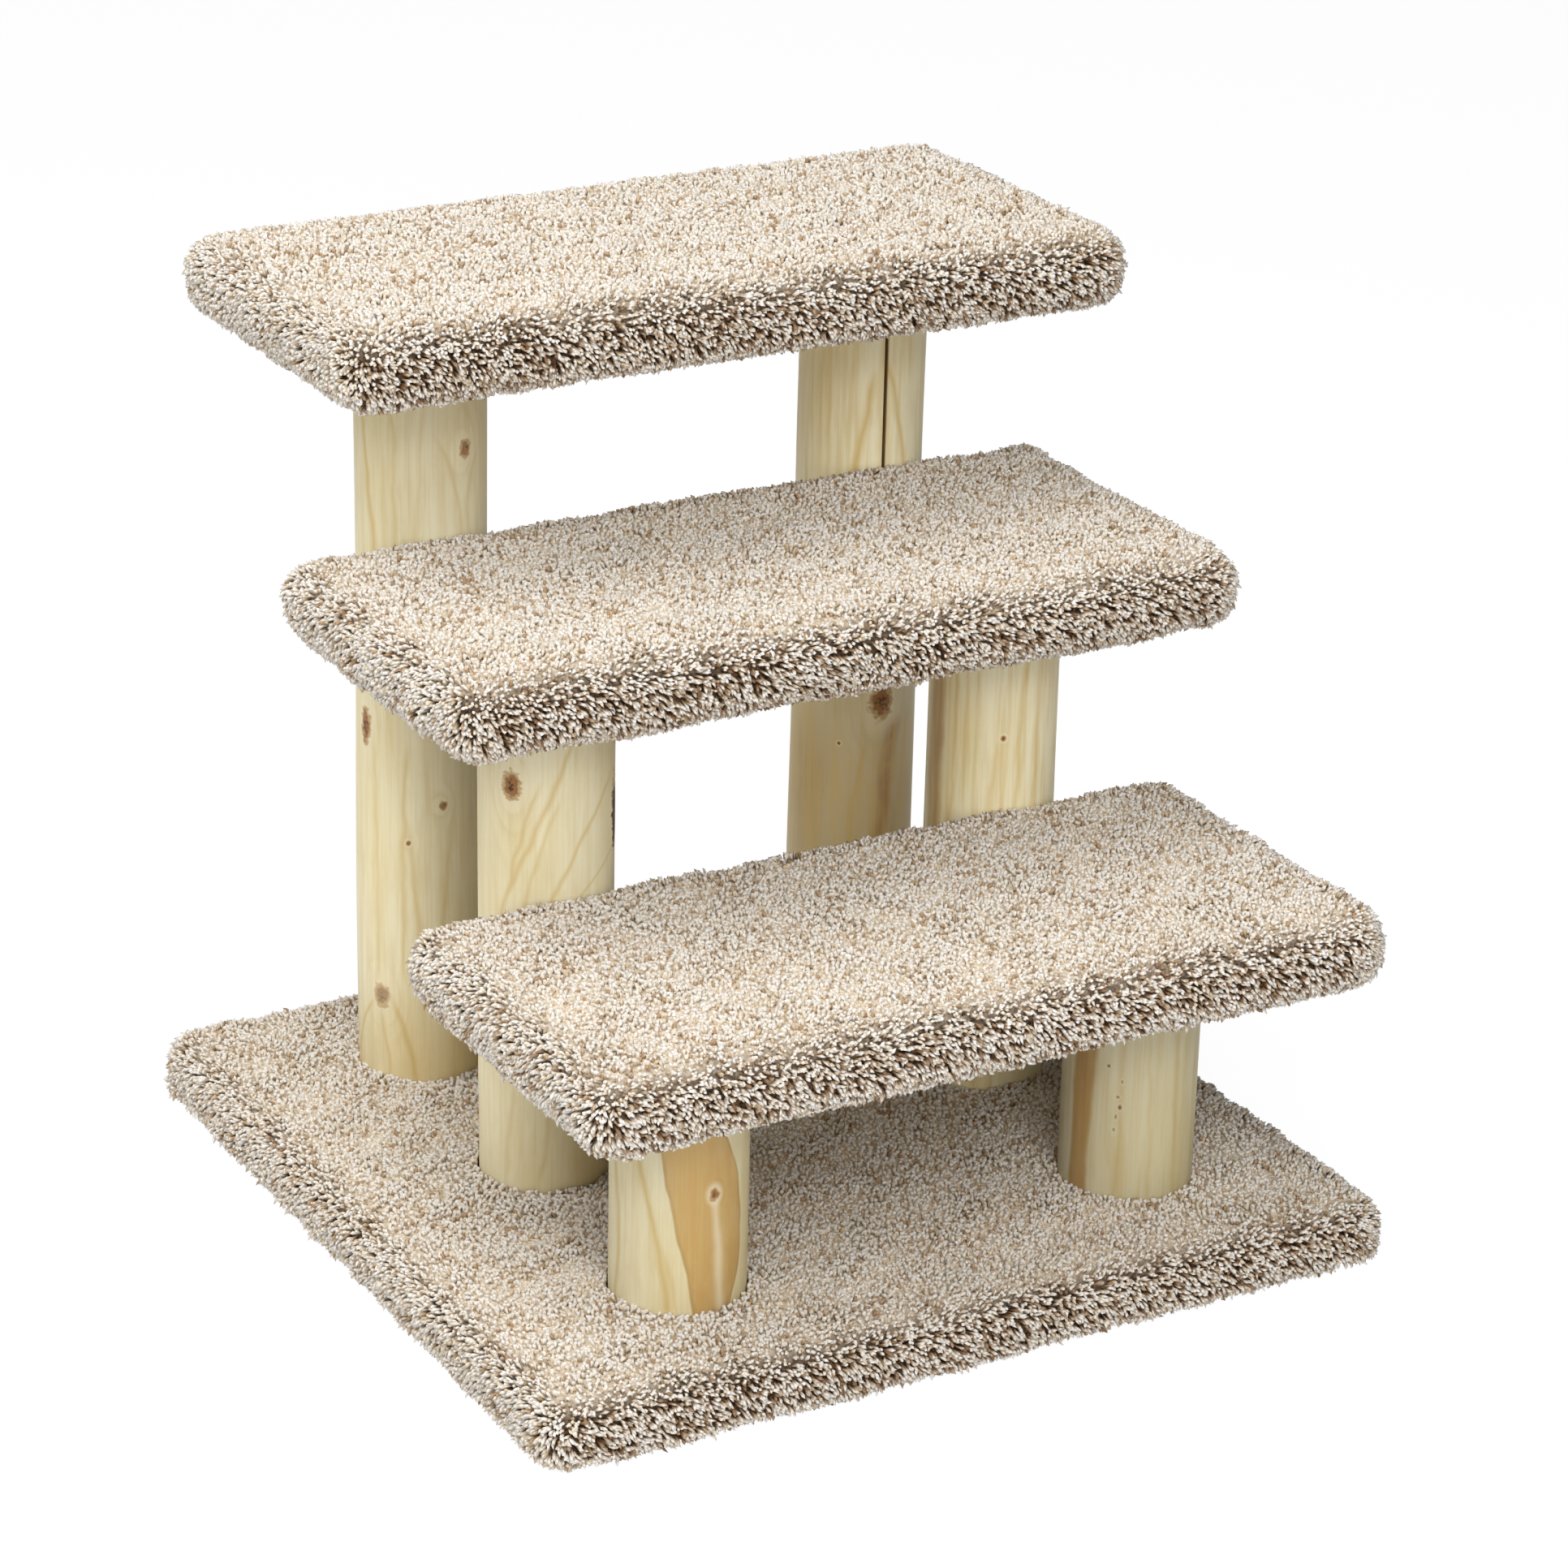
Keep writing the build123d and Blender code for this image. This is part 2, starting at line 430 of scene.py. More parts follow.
def ringPlaces(share, halfX, halfY, radius):
    # A rounded rectangle seen from above, from the middle of its front side anticlockwise. Each quarter
    # is a straight run, a quarter circle and a straight run, and the quarters turn by 90 degrees.
    flatX = halfX - radius
    flatY = halfY - radius
    quarter = flatX + flatY + radius * math.pi / 2
    along = (share % 1.0) * 4 * quarter
    turn = np.minimum(np.floor(along / quarter), 3)
    done = along - turn * quarter
    odd = turn % 2 == 1
    first = np.where(odd, flatY, flatX)
    sweep = np.clip((done - first) / radius, 0, math.pi / 2)
    past = np.maximum(done - first - radius * math.pi / 2, 0)
    u = np.minimum(done, first) + radius * np.sin(sweep)
    v = radius * (1 - np.cos(sweep)) + past - np.where(odd, halfX, halfY)
    c = np.cos(turn * math.pi / 2)
    s = np.sin(turn * math.pi / 2)
    place = np.stack([c * u - s * v, s * u + c * v], axis=1)
    outward = np.stack([c * np.sin(sweep) + s * np.cos(sweep), s * np.sin(sweep) - c * np.cos(sweep)], axis=1)
    return place, outward


def rimSection(down, deck):
    # The carpet's edge in section, by distance from the edge of the flat top: a quarter circle down,
    # a straight side, a quarter circle under and the hem inwards. Gives reach, height and slope.
    topRound = deckValues["topRound"]
    lowRound = deck["lowRound"]
    topArc = topRound * math.pi / 2
    lowArc = lowRound * math.pi / 2
    over = np.clip(down, 0, topArc) / topRound
    level = np.clip(down - topArc, 0, deck["side"])
    under = np.clip(down - topArc - deck["side"], 0, lowArc) / lowRound
    inward = np.maximum(down - topArc - deck["side"] - lowArc, 0)
    reach = topRound * np.sin(over) - lowRound * (1 - np.cos(under)) - inward
    height = deck["top"] - topRound * (1 - np.cos(over)) - level - lowRound * np.sin(under)
    return reach, height, math.pi / 2 - over - under


def rimPlaces(deck, start, end, pitch, rng):
    # Tufts in rows round the rim, each row with its own phase, a little out of line.
    stray = pileValues["rimStray"]
    rows = np.arange(start, end, pitch * pileValues["rimRows"])
    flat = deck["flat"]
    corner = deck["corner"]
    reach = rimSection(rows, deck)[0]
    length = 4 * (flat.sum() + 2 * reach) - (8 - 2 * math.pi) * np.maximum(corner + reach, 1e-5)
    count = np.round(length / pitch).astype(int)
    row = np.repeat(np.arange(len(rows)), count)
    number = np.arange(count.sum()) - np.repeat(np.cumsum(count) - count, count)
    phase = rng.random(len(rows))[row]
    share = (number + phase + rng.normal(0, stray, len(row))) / count[row]
    down = np.maximum(rows[row] + rng.normal(0, stray, len(row)) * pitch, 0)
    reach, height, slope = rimSection(down, deck)
    plan, outward = ringPlaces(share, flat[0] + reach, flat[1] + reach, np.maximum(corner + reach, 1e-5))
    place = np.column_stack([plan + deck["middle"][:2], height])
    normal = np.column_stack([outward * np.cos(slope)[:, None], np.sin(slope)])
    along = np.column_stack([-outward[:, 1], outward[:, 0], np.zeros(len(row))])
    return place, normal, along, down


def treadPlaces(deck, pitch, rng):
    # Tufts on the flat top, in a staggered grid a little out of line.
    stray = pileValues["treadStray"]
    flat = deck["flat"]
    columns = np.arange(-flat[0], flat[0], pitch)
    rows = np.arange(-flat[1], flat[1], pitch * math.sqrt(3) / 2)
    x, y = np.meshgrid(columns, rows)
    x = x + (np.arange(len(rows)) % 2 * pitch / 2)[:, None]
    x = x.ravel() + rng.normal(0, stray, x.size) * pitch
    y = y.ravel() + rng.normal(0, stray, y.size) * pitch
    inside = (np.abs(x) < flat[0]) & (np.abs(y) < flat[1])
    x = x[inside] + deck["middle"][0]
    y = y[inside] + deck["middle"][1]
    place = np.column_stack([x, y, np.full(len(x), deck["top"])])
    return place, np.tile([0.0, 0.0, 1.0], (len(x), 1))


# Pile: every tuft is its own bent strand of yarn, rooted in the dense lower pile

pileValues = {
    "pitch": 0.0033,
    "rimPitch": 0.00285,
    "rimRows": 0.9,          # distance of the rim's rows, in pitches
    "hemPitch": 0.0066,
    "treadStray": 0.17,      # how far tufts stand out of line, in pitches
    "rimStray": 0.2,
    "groundTop": 0.0042,     # how far the dense lower pile lies below the tips on the treads
    "groundSide": 0.0070,    # the same on the sides
    "groundUnder": 0.0055,   # the same on the underside
    "rooted": 0.0020,        # how deep the strands' roots lie in it
    "thickness": 0.00140,    # radius of a strand at its thickest
    "thicknessSpread": (0.82, 1.2),
    "sideThickness": 0.84,   # strands on the sides show their slimmer length
    "swerve": 0.0027,        # how far a tip strays from its root, at random
    "sideSwerve": 0.0031,    # the same on the sides
    "baseHemSwerve": 0.0022,
    "curl": 1.9,             # how late along its length a strand bends over
    "drift": 0.0006,         # how far whole patches lean one way
    "treadPatch": 0.06,      # about how long such patches are
    "sidePatches": (0.09, 0.07),
    "hang": 0.0030,          # how far the tips on the sides hang down
    "slant": 0.0024,         # how far the tips on the front faces lean to the right
    "uneven": 0.0010,        # how unevenly the strands are cut
    "sideUneven": 0.0020,    # the same on the sides, where few reach the full length
    "baseHemUneven": 0.0003,
    "stepHemUneven": 0.0014,
    "hemLift": 0.0005,       # how far inside the underside the hem's tips end
    "lumps": 0.0008,         # soft lumps in the pile's surface, and about how long they are
    "treadLump": 0.04,
    "sideLump": 0.035,
    "bendStart": -0.015,     # the sides' lean begins here, from the edge of the flat top, and grows
    "bendLength": 0.036,     # over this length
    "tones": 16,             # tones of yarn
    "shadeGrades": 4,             # steps of painted shade, from the treads' light gaps to the sides' dark ones
    "gradeStart": -0.012,    # where they begin, and over what length
    "gradeLength": 0.050,
    "gradeSpread": 0.12,
    "endShadeGrade": 0.10,        # how far the left and right ends go to the sides' painted shade; lit from the side, they get less
    "tonePatch": 0.05,       # patches of like tone, and how strong they are
    "tonePatchShare": 0.03,
    "sides": 4,
    "ringShares": (0.0, 0.84),
    "ringRadii": (0.80, 1.0),
    "twist": 1.2,            # turn of the yarn, in radians, from root to tip
    "postGap": 0.0012,
    "rootInset": 0.0004,     # a strand rooted deeper than this in a post is left out
    "pressed": 0.0040,       # below this height the floor presses the pile flatter
    "stripAcross": (0.08, 0.84),   # where a strand lies in its unwrapped strip, start and width
    "stripUp": (0.02, 0.96),
}


def groundDepth(up):
    # How far the lower pile lies below the tips where the surface's normal has that upward part.
    values = pileValues
    side = values["groundSide"]
    above = (values["groundTop"] - side) * np.maximum(up, 0) ** 5
    return side + above + (values["groundUnder"] - side) * np.maximum(-up, 0)


def passPosts(line):
    # Pushes the strands out of the posts, away from each post's axis, and tells which of them to keep.
    keep = np.ones(len(line), bool)
    for post in posts.values():
        axis = np.array([post["x"], post["y"]])
        clear = post["radius"] + pileValues["postGap"]
        off = line[:, :, :2] - axis
        far = np.linalg.norm(off, axis=2)
        beside = line[:, :, 2] < post["top"]
        keep &= ~((far[:, 0] < post["radius"] - pileValues["rootInset"]) & beside[:, 0])
        scale = np.where((far < clear) & beside, clear / np.maximum(far, 1e-6), 1.0)
        line[:, :, :2] = axis + off * scale[:, :, None]
    return keep


def buildTufts(name, tips, normal, lean, strip, rng, thickness):
    # Each strand is root + normal * length * t + lean * t ** curl, with rings of a few corners round it
    # and a point at its end. A ring's corners are centre + radius * (side * cos + front * sin).
    values = pileValues
    shares = np.array(values["ringShares"] + (1.0,))
    length = (groundDepth(normal[:, 2]) + values["rooted"])[:, None, None]
    line = (
        tips[:, None]
        + normal[:, None] * length * (shares - 1)[:, None]
        + lean[:, None] * (shares ** values["curl"])[:, None]
    )
    keep = passPosts(line)
    line = line[keep]
    count = len(line)
    tangent = unit(np.gradient(line, axis=1))
    side = unit(np.cross(tangent, rng.normal(size=(count, 1, 3))))
    front = np.cross(tangent, side)
    sides = values["sides"]
    rings = len(values["ringShares"])
    size = values["thickness"] * thickness * rng.uniform(*values["thicknessSpread"], (count, 1, 1, 1))
    radius = size * np.array(values["ringRadii"])[None, :, None, None]
    angle = np.arange(sides) * 2 * math.pi / sides + values["twist"] * shares[:rings, None]
    corner = (
        side[:, :rings, None] * np.cos(angle)[None, :, :, None]
        + front[:, :rings, None] * np.sin(angle)[None, :, :, None]
    )
    body = line[:, :rings, None] + corner * radius
    places = np.concatenate([body.reshape(count, rings * sides, 3), line[:, rings:]], axis=1)
    # Near the floor a height z becomes pressed * exp(z / pressed - 1), which stays over the floor.
    height = places[:, :, 2]
    pressed = values["pressed"]
    lifted = pressed * np.exp(np.minimum(height / pressed - 1, 0))
    places[:, :, 2] = np.where(height < pressed, lifted, height)
    quads = tubeFaces(rings, sides).ravel()
    caps = fanFaces((rings - 1) * sides, sides, rings * sides).ravel()
    pattern = np.concatenate([quads, caps])
    corners = (pattern + (np.arange(count) * places.shape[1])[:, None]).ravel()
    sizes = np.tile(np.repeat([4, 3], [len(quads) // 4, sides]), count)
    # Unwrapped, each tone of each grade is a strip: across it the way round the strand, up it root to tip.
    near = np.arange(sides) / sides
    far = np.arange(1, sides + 1) / sides
    capAcross = np.stack([near, far, (near + far) / 2], axis=1)
    capUv = np.stack([capAcross, np.tile(shares[[-2, -2, -1]], (sides, 1))], axis=2).reshape(-1, 2)
    inStrip = np.concatenate([tubeUv(near, far, shares[:rings]), capUv])
    start, width = values["stripAcross"]
    u = (strip[keep][:, None] + start + width * inStrip[:, 0]) / (values["tones"] * values["shadeGrades"])
    start, width = values["stripUp"]
    v = np.broadcast_to(start + width * inStrip[:, 1], u.shape)
    piece = meshFrom(name, places.reshape(-1, 3), corners, sizes, np.stack([u, v], axis=2))
    print(name, count, "tufts", int((sizes - 2).sum()), "triangles")
    return finishPiece(piece, pileYarn, "carpet")


def yarnStrips(places, normal, past, rng):
    # Even chances of each tone, gathered very little into patches. The grade of painted shade rises over the
    # rim, by the distance past the flat top's edge, with strands of neighbouring grades mixed, and less at
    # the lit ends.
    values = pileValues
    tones = values["tones"]
    tone = rng.random(len(places)) + values["tonePatchShare"] * softWaves(places, values["tonePatch"], rng)
    shadeGrade = np.clip((past - values["gradeStart"]) / values["gradeLength"], 0, 1)
    shadeGrade *= 1 - (1 - values["endShadeGrade"]) * np.abs(normal[:, 0])
    shadeGrade += rng.normal(0, values["gradeSpread"], len(places))
    tone, shadeGrade = (np.clip(v, 0, 0.9999) for v in (tone, shadeGrade))
    return np.floor(shadeGrade * values["shadeGrades"]) * tones + np.floor(tone * tones)


yarnValues = {
    "tread": {
        "stops": (
            (0.00, (190, 162, 130)),
            (0.06, (218, 199, 172)),
            (0.16, (236, 226, 209)),
            (0.42, (243, 237, 227)),
            (0.94, (246, 243, 238)),
        ),
        # colour of the painted shade down in the pile between the treads' strands, slight
        "gap": (244, 234, 219),
    },
    # The sides' copy: more dark strands, brighter tips and darker painted shade in the gaps, as painted
    # highlights and shade of the front faces.
    "side": {
        "stops": (
            (0.00, (142, 112, 84)),
            (0.10, (186, 160, 130)),
            (0.26, (232, 219, 199)),
            (0.50, (249, 244, 234)),
            (0.94, (254, 252, 248)),
        ),
        # colour of the painted shade down in the pile between the sides' strands, darker
        "gap": (184, 158, 131),
    },
    # painted shade in the grooves that wind between the yarn's plies
    "plyGrooveShade": (150, 118, 90),
    "plyGrooveShadeShare": 0.22,     # how much of this painted shade shows in the grooves between the plies
    "plyTurns": 9.0,         # how far the plies wind, in radians, from root to tip
    "reach": 0.85,           # from this share of its length on, a strand has its full colour, without the painted shade of the gaps
    "through": 0.2,          # how much light passes through the fibres
}


def yarnMaterial(values):
    # Each strand's colour by its tone, times a painted shade that darkens it down in the pile towards its
    # root, both mixed from the treads' colours to the sides' darker, painted-shade copy by the strand's
    # grade.
    material, tree, shader = newMaterial("pileYarn")
    across, up = parts(skinPlace(tree))[:2]
    tones = pileValues["tones"]
    shadeGrades = pileValues["shadeGrades"]
    stripPlace = times(across, tones * shadeGrades)
    around = maths("FRACT", stripPlace)
    inGrade = maths("DIVIDE", minus(stripPlace, around), tones)
    tone = maths("FRACT", inGrade)
    shadeGrade = maths("DIVIDE", minus(inGrade, tone), shadeGrades - 1)
    # Painted shade in the grooves between the plies.
    ply = maths("SINE", timesPlus(up, values["plyTurns"], times(around, 4 * math.pi)))
    share = values["plyGrooveShadeShare"]
    plyGrooveShade = timesPlus(smoothStep(ply, -1.0, -0.35), -share, share)
    reach = values["reach"]
    shown = []
    for kind in ("tread", "side"):
        gap = values[kind]["gap"]
        yarn = layer(colourRamp(tone, values[kind]["stops"]), values["plyGrooveShade"], plyGrooveShade)
        # Painted shade: from the tip down to the root the strand darkens to its kind's gap colour and below.
        paintedGapShade = (
            (reach - 0.50, [c * 0.60 for c in gap]),
            (reach - 0.28, gap),
            (reach - 0.12, [(c + 510) / 3 for c in gap]),
            (reach, (255, 255, 255)),
        )
        shown.append(mixColour(1.0, yarn, colourRamp(up, paintedGapShade), "MULTIPLY"))
    colour = mixColour(shadeGrade, *shown)
    fill(shader, {"Base Color": colour, "Roughness": 0.86, "Specular IOR Level": 0.25})
    # Light passes through the thin fibres, which keeps the gaps between the strands warm.
    mixShader(tree, values["through"], shader, node(tree, "BsdfTranslucent", {"Color": colour}))
    return material


groundValues = {
    "topDark": (200, 183, 158),
    "topLight": (234, 221, 202),
    # painted shade: at the sides the lower pile stands for the shade deep in the gaps
    "sideShadeDark": (36, 25, 17),
    "sideShadeLight": (96, 74, 55),
    "columns": 240,
    "rimRows": 22,
    "sunk": 0.0006,          # how far its inner side lies in the backing
    "short": 0.0010,         # how far it ends before the backing's hem
}


def groundMaterial(values):
    # The dense lower pile, seen only in the gaps: mottled, light under the treads and dark at the sides,
    # where it is painted shade in the gaps, by its unwrapped place.
    material, tree, shader = newMaterial("lowerPile")
    grains = noise(solidPlace(tree), 420.0)
    share = smoothStep(grains, 0.36, 0.64)
    top = mixColour(share, values["topDark"], values["topLight"])
    side = mixColour(share, values["sideShadeDark"], values["sideShadeLight"])
    onTop = smoothStep(parts(skinPlace(tree))["Y"], 0.52, 0.78)
    fill(shader, {
        "Base Color": mixColour(onTop, side, top),
        "Normal": bump(grains, 0.9, 0.002),
        "Roughness": 0.95,
        "Specular IOR Level": 0.05,
    })
    return material


backingValues = {
    "dark": (104, 84, 62),
    "light": (168, 144, 112),
    "threadPitch": 0.0026,
    "columns": 96,
    "topRows": 14,
    "hemRows": 8,
    "bend": 0.0025,          # radius of its turn round the board's edges
    "share": 0.94,           # its share of the carpet's full backing
}


def backingMaterial(values):
    # Woven backing: two sets of fine threads that cross, sin(x) * sin(y).
    material, tree, shader = newMaterial("carpetBacking")
    place = solidPlace(tree)
    threads = 2 * math.pi / values["threadPitch"]
    first, second = (maths("SINE", times(v, threads)) for v in parts(place)[:2])
    weave = times(first, second)
    share = maths("ADD", times(weave, 0.28), noise(place, 220.0, 3.0))
    colour = colourRamp(share, ((0.2, values["dark"]), (0.8, values["light"])))
    fill(shader, {"Base Color": colour, "Normal": bump(weave, 0.6, 0.0004), "Roughness": 0.95})
    return material


pileYarn = yarnMaterial(yarnValues)
lowerPile = groundMaterial(groundValues)
backing = backingMaterial(backingValues)

creaseValues = {
    "deck": "middle_step",
    "height": 0.416,         # where the pile parts along the step's front
    "wander": 0.003,
    "width": 0.0045,
    "push": 0.0034,
    "left": -0.19,
    "right": 0.25,
    "fade": 0.05,            # how long its ends are
}


def bendShare(past):
    # 0 to 1 over the bend of the rim, by the distance past the edge of the flat top.
    return np.clip((past - pileValues["bendStart"]) / pileValues["bendLength"], 0, 1)


def eased(share):
    return share**2 * (3 - 2 * share)


def creaseDrop(place, normal):
    # How far strands are pushed up above the crease and down below it: push * exp(-(off / width) ** 2).
    values = creaseValues
    x = place[:, 0]
    level = values["height"] + values["wander"] * np.sin(x * 31)
    apart = (place[:, 2] - level) / values["width"]
    strength = values["push"] * np.exp(-(apart**2)) * np.clip(-normal[:, 1], 0, 1) ** 0.5
    strength *= np.clip((x - values["left"]) / values["fade"], 0, 1)
    strength *= np.clip((values["right"] - x) / values["fade"], 0, 1)
    strength *= 0.6 + 0.4 * np.sin(x * 47 + 1.0)
    return strength * np.clip(apart * 4, -1, 1)


def rimLean(deck, place, normal, along, past, rng):
    # Leans: random, drifting in patches, hanging down on the sides, and fanning out at the corners.
    values = pileValues
    count = len(place)
    down = np.cross(along, normal)
    upright = np.sqrt(np.clip(1 - normal[:, 2] ** 2, 0, 1))
    sideways, drop = (
        rng.normal(0, values["sideSwerve"], count) + values["drift"] * softWaves(place, patch, rng)
        for patch in values["sidePatches"]
    )
    sideways += values["slant"] * upright * np.clip(-normal[:, 1], 0, 1)
    drop += values["hang"] * eased(bendShare(past)) * np.clip(normal[:, 2] + 1.3, 0, 1)
    if deck["name"] == creaseValues["deck"]:
        drop -= creaseDrop(place, normal)
    return along * sideways[:, None] + down * drop[:, None]


def plant(deck, kind, halved, place, normal, lean, past, rng, thickness=1.0):
    # Gives tufts their yarn and builds them, as one piece or as a front and a rear one that stay small.
    tufts = (place, normal, lean, yarnStrips(place, normal, past, rng))
    front = place[:, 1] < deck["middle"][1]
    chosen = {"_front": front, "_rear": ~front} if halved else {"": slice(None)}
    name = f"{deck['name']}_{kind}_pile"
    return [
        buildTufts(name + end, *(values[part] for values in tufts), rng, thickness)
        for end, part in chosen.items()
    ]


def makePile(deck, seed):
    # The tufts of the tread, the edge and the hem, and the lower pile that they stand in.
    values = pileValues
    rng = np.random.default_rng(seed)
    isBase = deck["isBase"]
    place, normal = treadPlaces(deck, values["pitch"], rng)
    count = len(place)
    lean = np.zeros_like(place)
    for axis in (0, 1):
        lean[:, axis] = rng.normal(0, values["swerve"], count)
        lean[:, axis] += values["drift"] * softWaves(place, values["treadPatch"], rng)
    # Near the rim the tufts begin to lean outwards, as the sides do.
    off = place[:, :2] - deck["middle"][:2]
    past = np.abs(off) - deck["flat"]
    begun = bendShare(past)
    lean[:, :2] += np.sign(off) * values["hang"] * (eased(begun) * (1 - 0.8 * begun[:, ::-1]))
    sunk = values["uneven"] * rng.random(count)
    sunk += values["lumps"] * 0.6 * (1 + softWaves(place, values["treadLump"], rng))
    place[:, 2] -= sunk
    pieces = plant(deck, "tread", isBase, place, normal, lean, past.max(axis=1), rng)
    pitch = values["rimPitch"]
    place, normal, along, down = rimPlaces(deck, pitch * 0.5, deck["flatStart"], pitch, rng)
    lean = rimLean(deck, place, normal, along, down, rng)
    sunk = values["sideUneven"] * rng.random(len(place)) ** 1.5
    sunk += values["lumps"] * (1 + softWaves(place, values["sideLump"], rng))
    place = place - normal * sunk[:, None]
    pieces += plant(deck, "edge", True, place, normal, lean, down, rng, values["sideThickness"])
    place, normal, along, down = rimPlaces(deck, deck["flatStart"], deck["hemEnd"], values["hemPitch"], rng)
    count = len(place)
    spread = values["baseHemSwerve" if isBase else "swerve"]
    lean = along * rng.normal(0, spread, count)[:, None]
    lean += np.cross(normal, along) * (-rng.normal(0, spread * 0.5, count))[:, None]
    uneven = values["baseHemUneven" if isBase else "stepHemUneven"]
    place[:, 2] += values["hemLift"] + uneven * rng.random(count)
    pieces += plant(deck, "hem", False, place, normal, lean, down, rng)
    return pieces + [makeGround(deck)]


def boxRows(deck, out, topRows, hemRows, hem):
    # Insets and heights of a bent sheet round the board, from the hem's inner edge under the board, out,
    # up its side and in over the top to the middle.
    half = (deck["boardHigh"] - deck["boardLow"]) / 2 + out
    bend = backingValues["bend"]
    arc = np.linspace(0, math.pi / 2, 5)
    over = np.linspace(bend, half[1], topRows)
    under = np.linspace(hem + out, bend, hemRows)
    inset = np.concatenate([under[:-1], bend * (1 - np.sin(arc)), bend * (1 - np.cos(arc)), over[1:]])
    lowCurve = -half[2] + bend * (1 - np.cos(arc))
    highCurve = half[2] - bend * (1 - np.sin(arc))
    height = [np.full(hemRows - 1, -half[2]), lowCurve, highCurve, np.full(topRows - 1, half[2])]
    height = np.concatenate(height) + deck["middle"][2]
    return half[0] - inset, half[1] - inset, np.maximum(bend - inset, 1e-6), height


def ringSkin(name, deck, columns, halfX, halfY, radius, height, across, flat):
    # A skin through rounded rectangles, one a row. Unwrapped: the way round by the row's share across.
    share = np.arange(columns) / columns
    wide = [np.repeat(v, columns) for v in (halfX, halfY, radius, height)]
    plan = ringPlaces(np.tile(share, len(height)), *wide[:3])[0]
    places = np.column_stack([plan + deck["middle"][:2], wide[3]])
    faces = tubeFaces(len(height), columns)
    uv = tubeUv(share, share + 1 / columns, across)
    return meshFrom(name, places, faces.ravel(), np.full(faces.size // 4, 4), uv, flat)


holeValues = {
    "sides": 48,
    "gap": 0.0006,           # between a post and the carpet
    "below": 0.002,          # how far the plug reaches down and up from the board's top
    "above": 0.020,
}


def makeCutter(name, post, level):
    # A round plug a little wider than the post, axis + radius * (cos angle, sin angle), with flat ends.
    values = holeValues
    sides = values["sides"]
    angle = np.arange(sides) * 2 * math.pi / sides
    radius = post["radius"] + values["gap"]
    ring = np.column_stack([post["x"] + radius * np.cos(angle), post["y"] + radius * np.sin(angle)])
    heights = (level - values["below"], level + values["above"])
    places = np.concatenate([np.column_stack([ring, np.full(sides, height)]) for height in heights])
    here = np.arange(sides)
    corners = np.concatenate([tubeFaces(2, sides).ravel(), here[::-1], here + sides])
    return meshFrom(name, places, corners, np.array([4] * sides + [sides, sides]), flat=True)


def settle(piece, deck, thick=0.0):
    # Welds the rows that close on themselves, gives the sheet its thickness and cuts the posts' holes.
    weld = piece.modifiers.new("weld", "WELD")
    weld.merge_threshold = 0.00002
    if thick:
        wall = piece.modifiers.new("wall", "SOLIDIFY")
        wall.thickness = thick
        wall.offset = 0
    pierced = posts if deck["isBase"] else {}
    cutters = [makeCutter(name + "_hole", post, deck["boardHigh"][2]) for name, post in pierced.items()]
    for cutter in cutters:
        hole = piece.modifiers.new("hole", "BOOLEAN")
        hole.operation = "DIFFERENCE"
        hole.solver = "EXACT"
        hole.object = cutter
    bpy.context.view_layer.update()
    shaped = piece.evaluated_get(bpy.context.evaluated_depsgraph_get())
    finished = bpy.data.meshes.new_from_object(shaped)
    piece.modifiers.clear()
    piece.data = finished
    for cutter in cutters:
        bpy.data.objects.remove(cutter)


def makeGround(deck):
    # The dense lower pile, closed: its inner side lies on the backing, and its outer side is the
    # carpet's section less its normal * groundDepth.
    values = groundValues
    hem = deckValues["hemWidth"] - values["short"]
    inner = [v[::-1] for v in boxRows(deck, deckValues["backing"] - values["sunk"], 2, 2, hem)]
    flat = deck["flat"]
    down = np.linspace(deck["flatStart"], 0, values["rimRows"])
    down = np.concatenate([[deck["hemEnd"] - values["short"]], down])
    reach, height, slope = rimSection(down, deck)
    ground = groundDepth(np.sin(slope))
    reach = np.append(reach - ground * np.cos(slope), [-flat[1] * 0.5, -flat[1]])
    height = np.append(height - ground * np.sin(slope), [deck["top"] - ground[-1]] * 2)
    outer = (flat[0] + reach, flat[1] + reach, np.maximum(deck["corner"] + reach, 1e-6), height)
    # Unwrapped upwards: the inner side, the rim from the hem to the flat top, and the top inwards.
    shares = (np.linspace(0, 0.2, len(inner[0])), np.linspace(0.22, 0.72, len(down)), [0.86, 1.0])
    rows = [np.concatenate(pair) for pair in zip(inner, outer)]
    name = deck["name"] + "_lower_pile"
    piece = ringSkin(name, deck, values["columns"], *rows, np.concatenate(shares), False)
    settle(piece, deck)
    return finishPiece(piece, lowerPile, "carpet")


def makeBacking(deck, pile):
    # The folded backing, a thin sheet bent round the board.
    values = backingValues
    thick = deckValues["backing"]
    rows = boxRows(deck, thick / 2, values["topRows"], values["hemRows"], deckValues["hemWidth"])
    across = np.linspace(0, 1, len(rows[0]))
    piece = ringSkin(deck["name"] + "_backing", deck, values["columns"], *rows, across, True)
    settle(piece, deck, thick * values["share"])
    finishPiece(piece, backing, "carpet", deck["name"] + "_carpet")


for seed, deck in enumerate(decks, 40):
    makeBacking(deck, makePile(deck, seed))
print("carpets ready")


# Timber posts

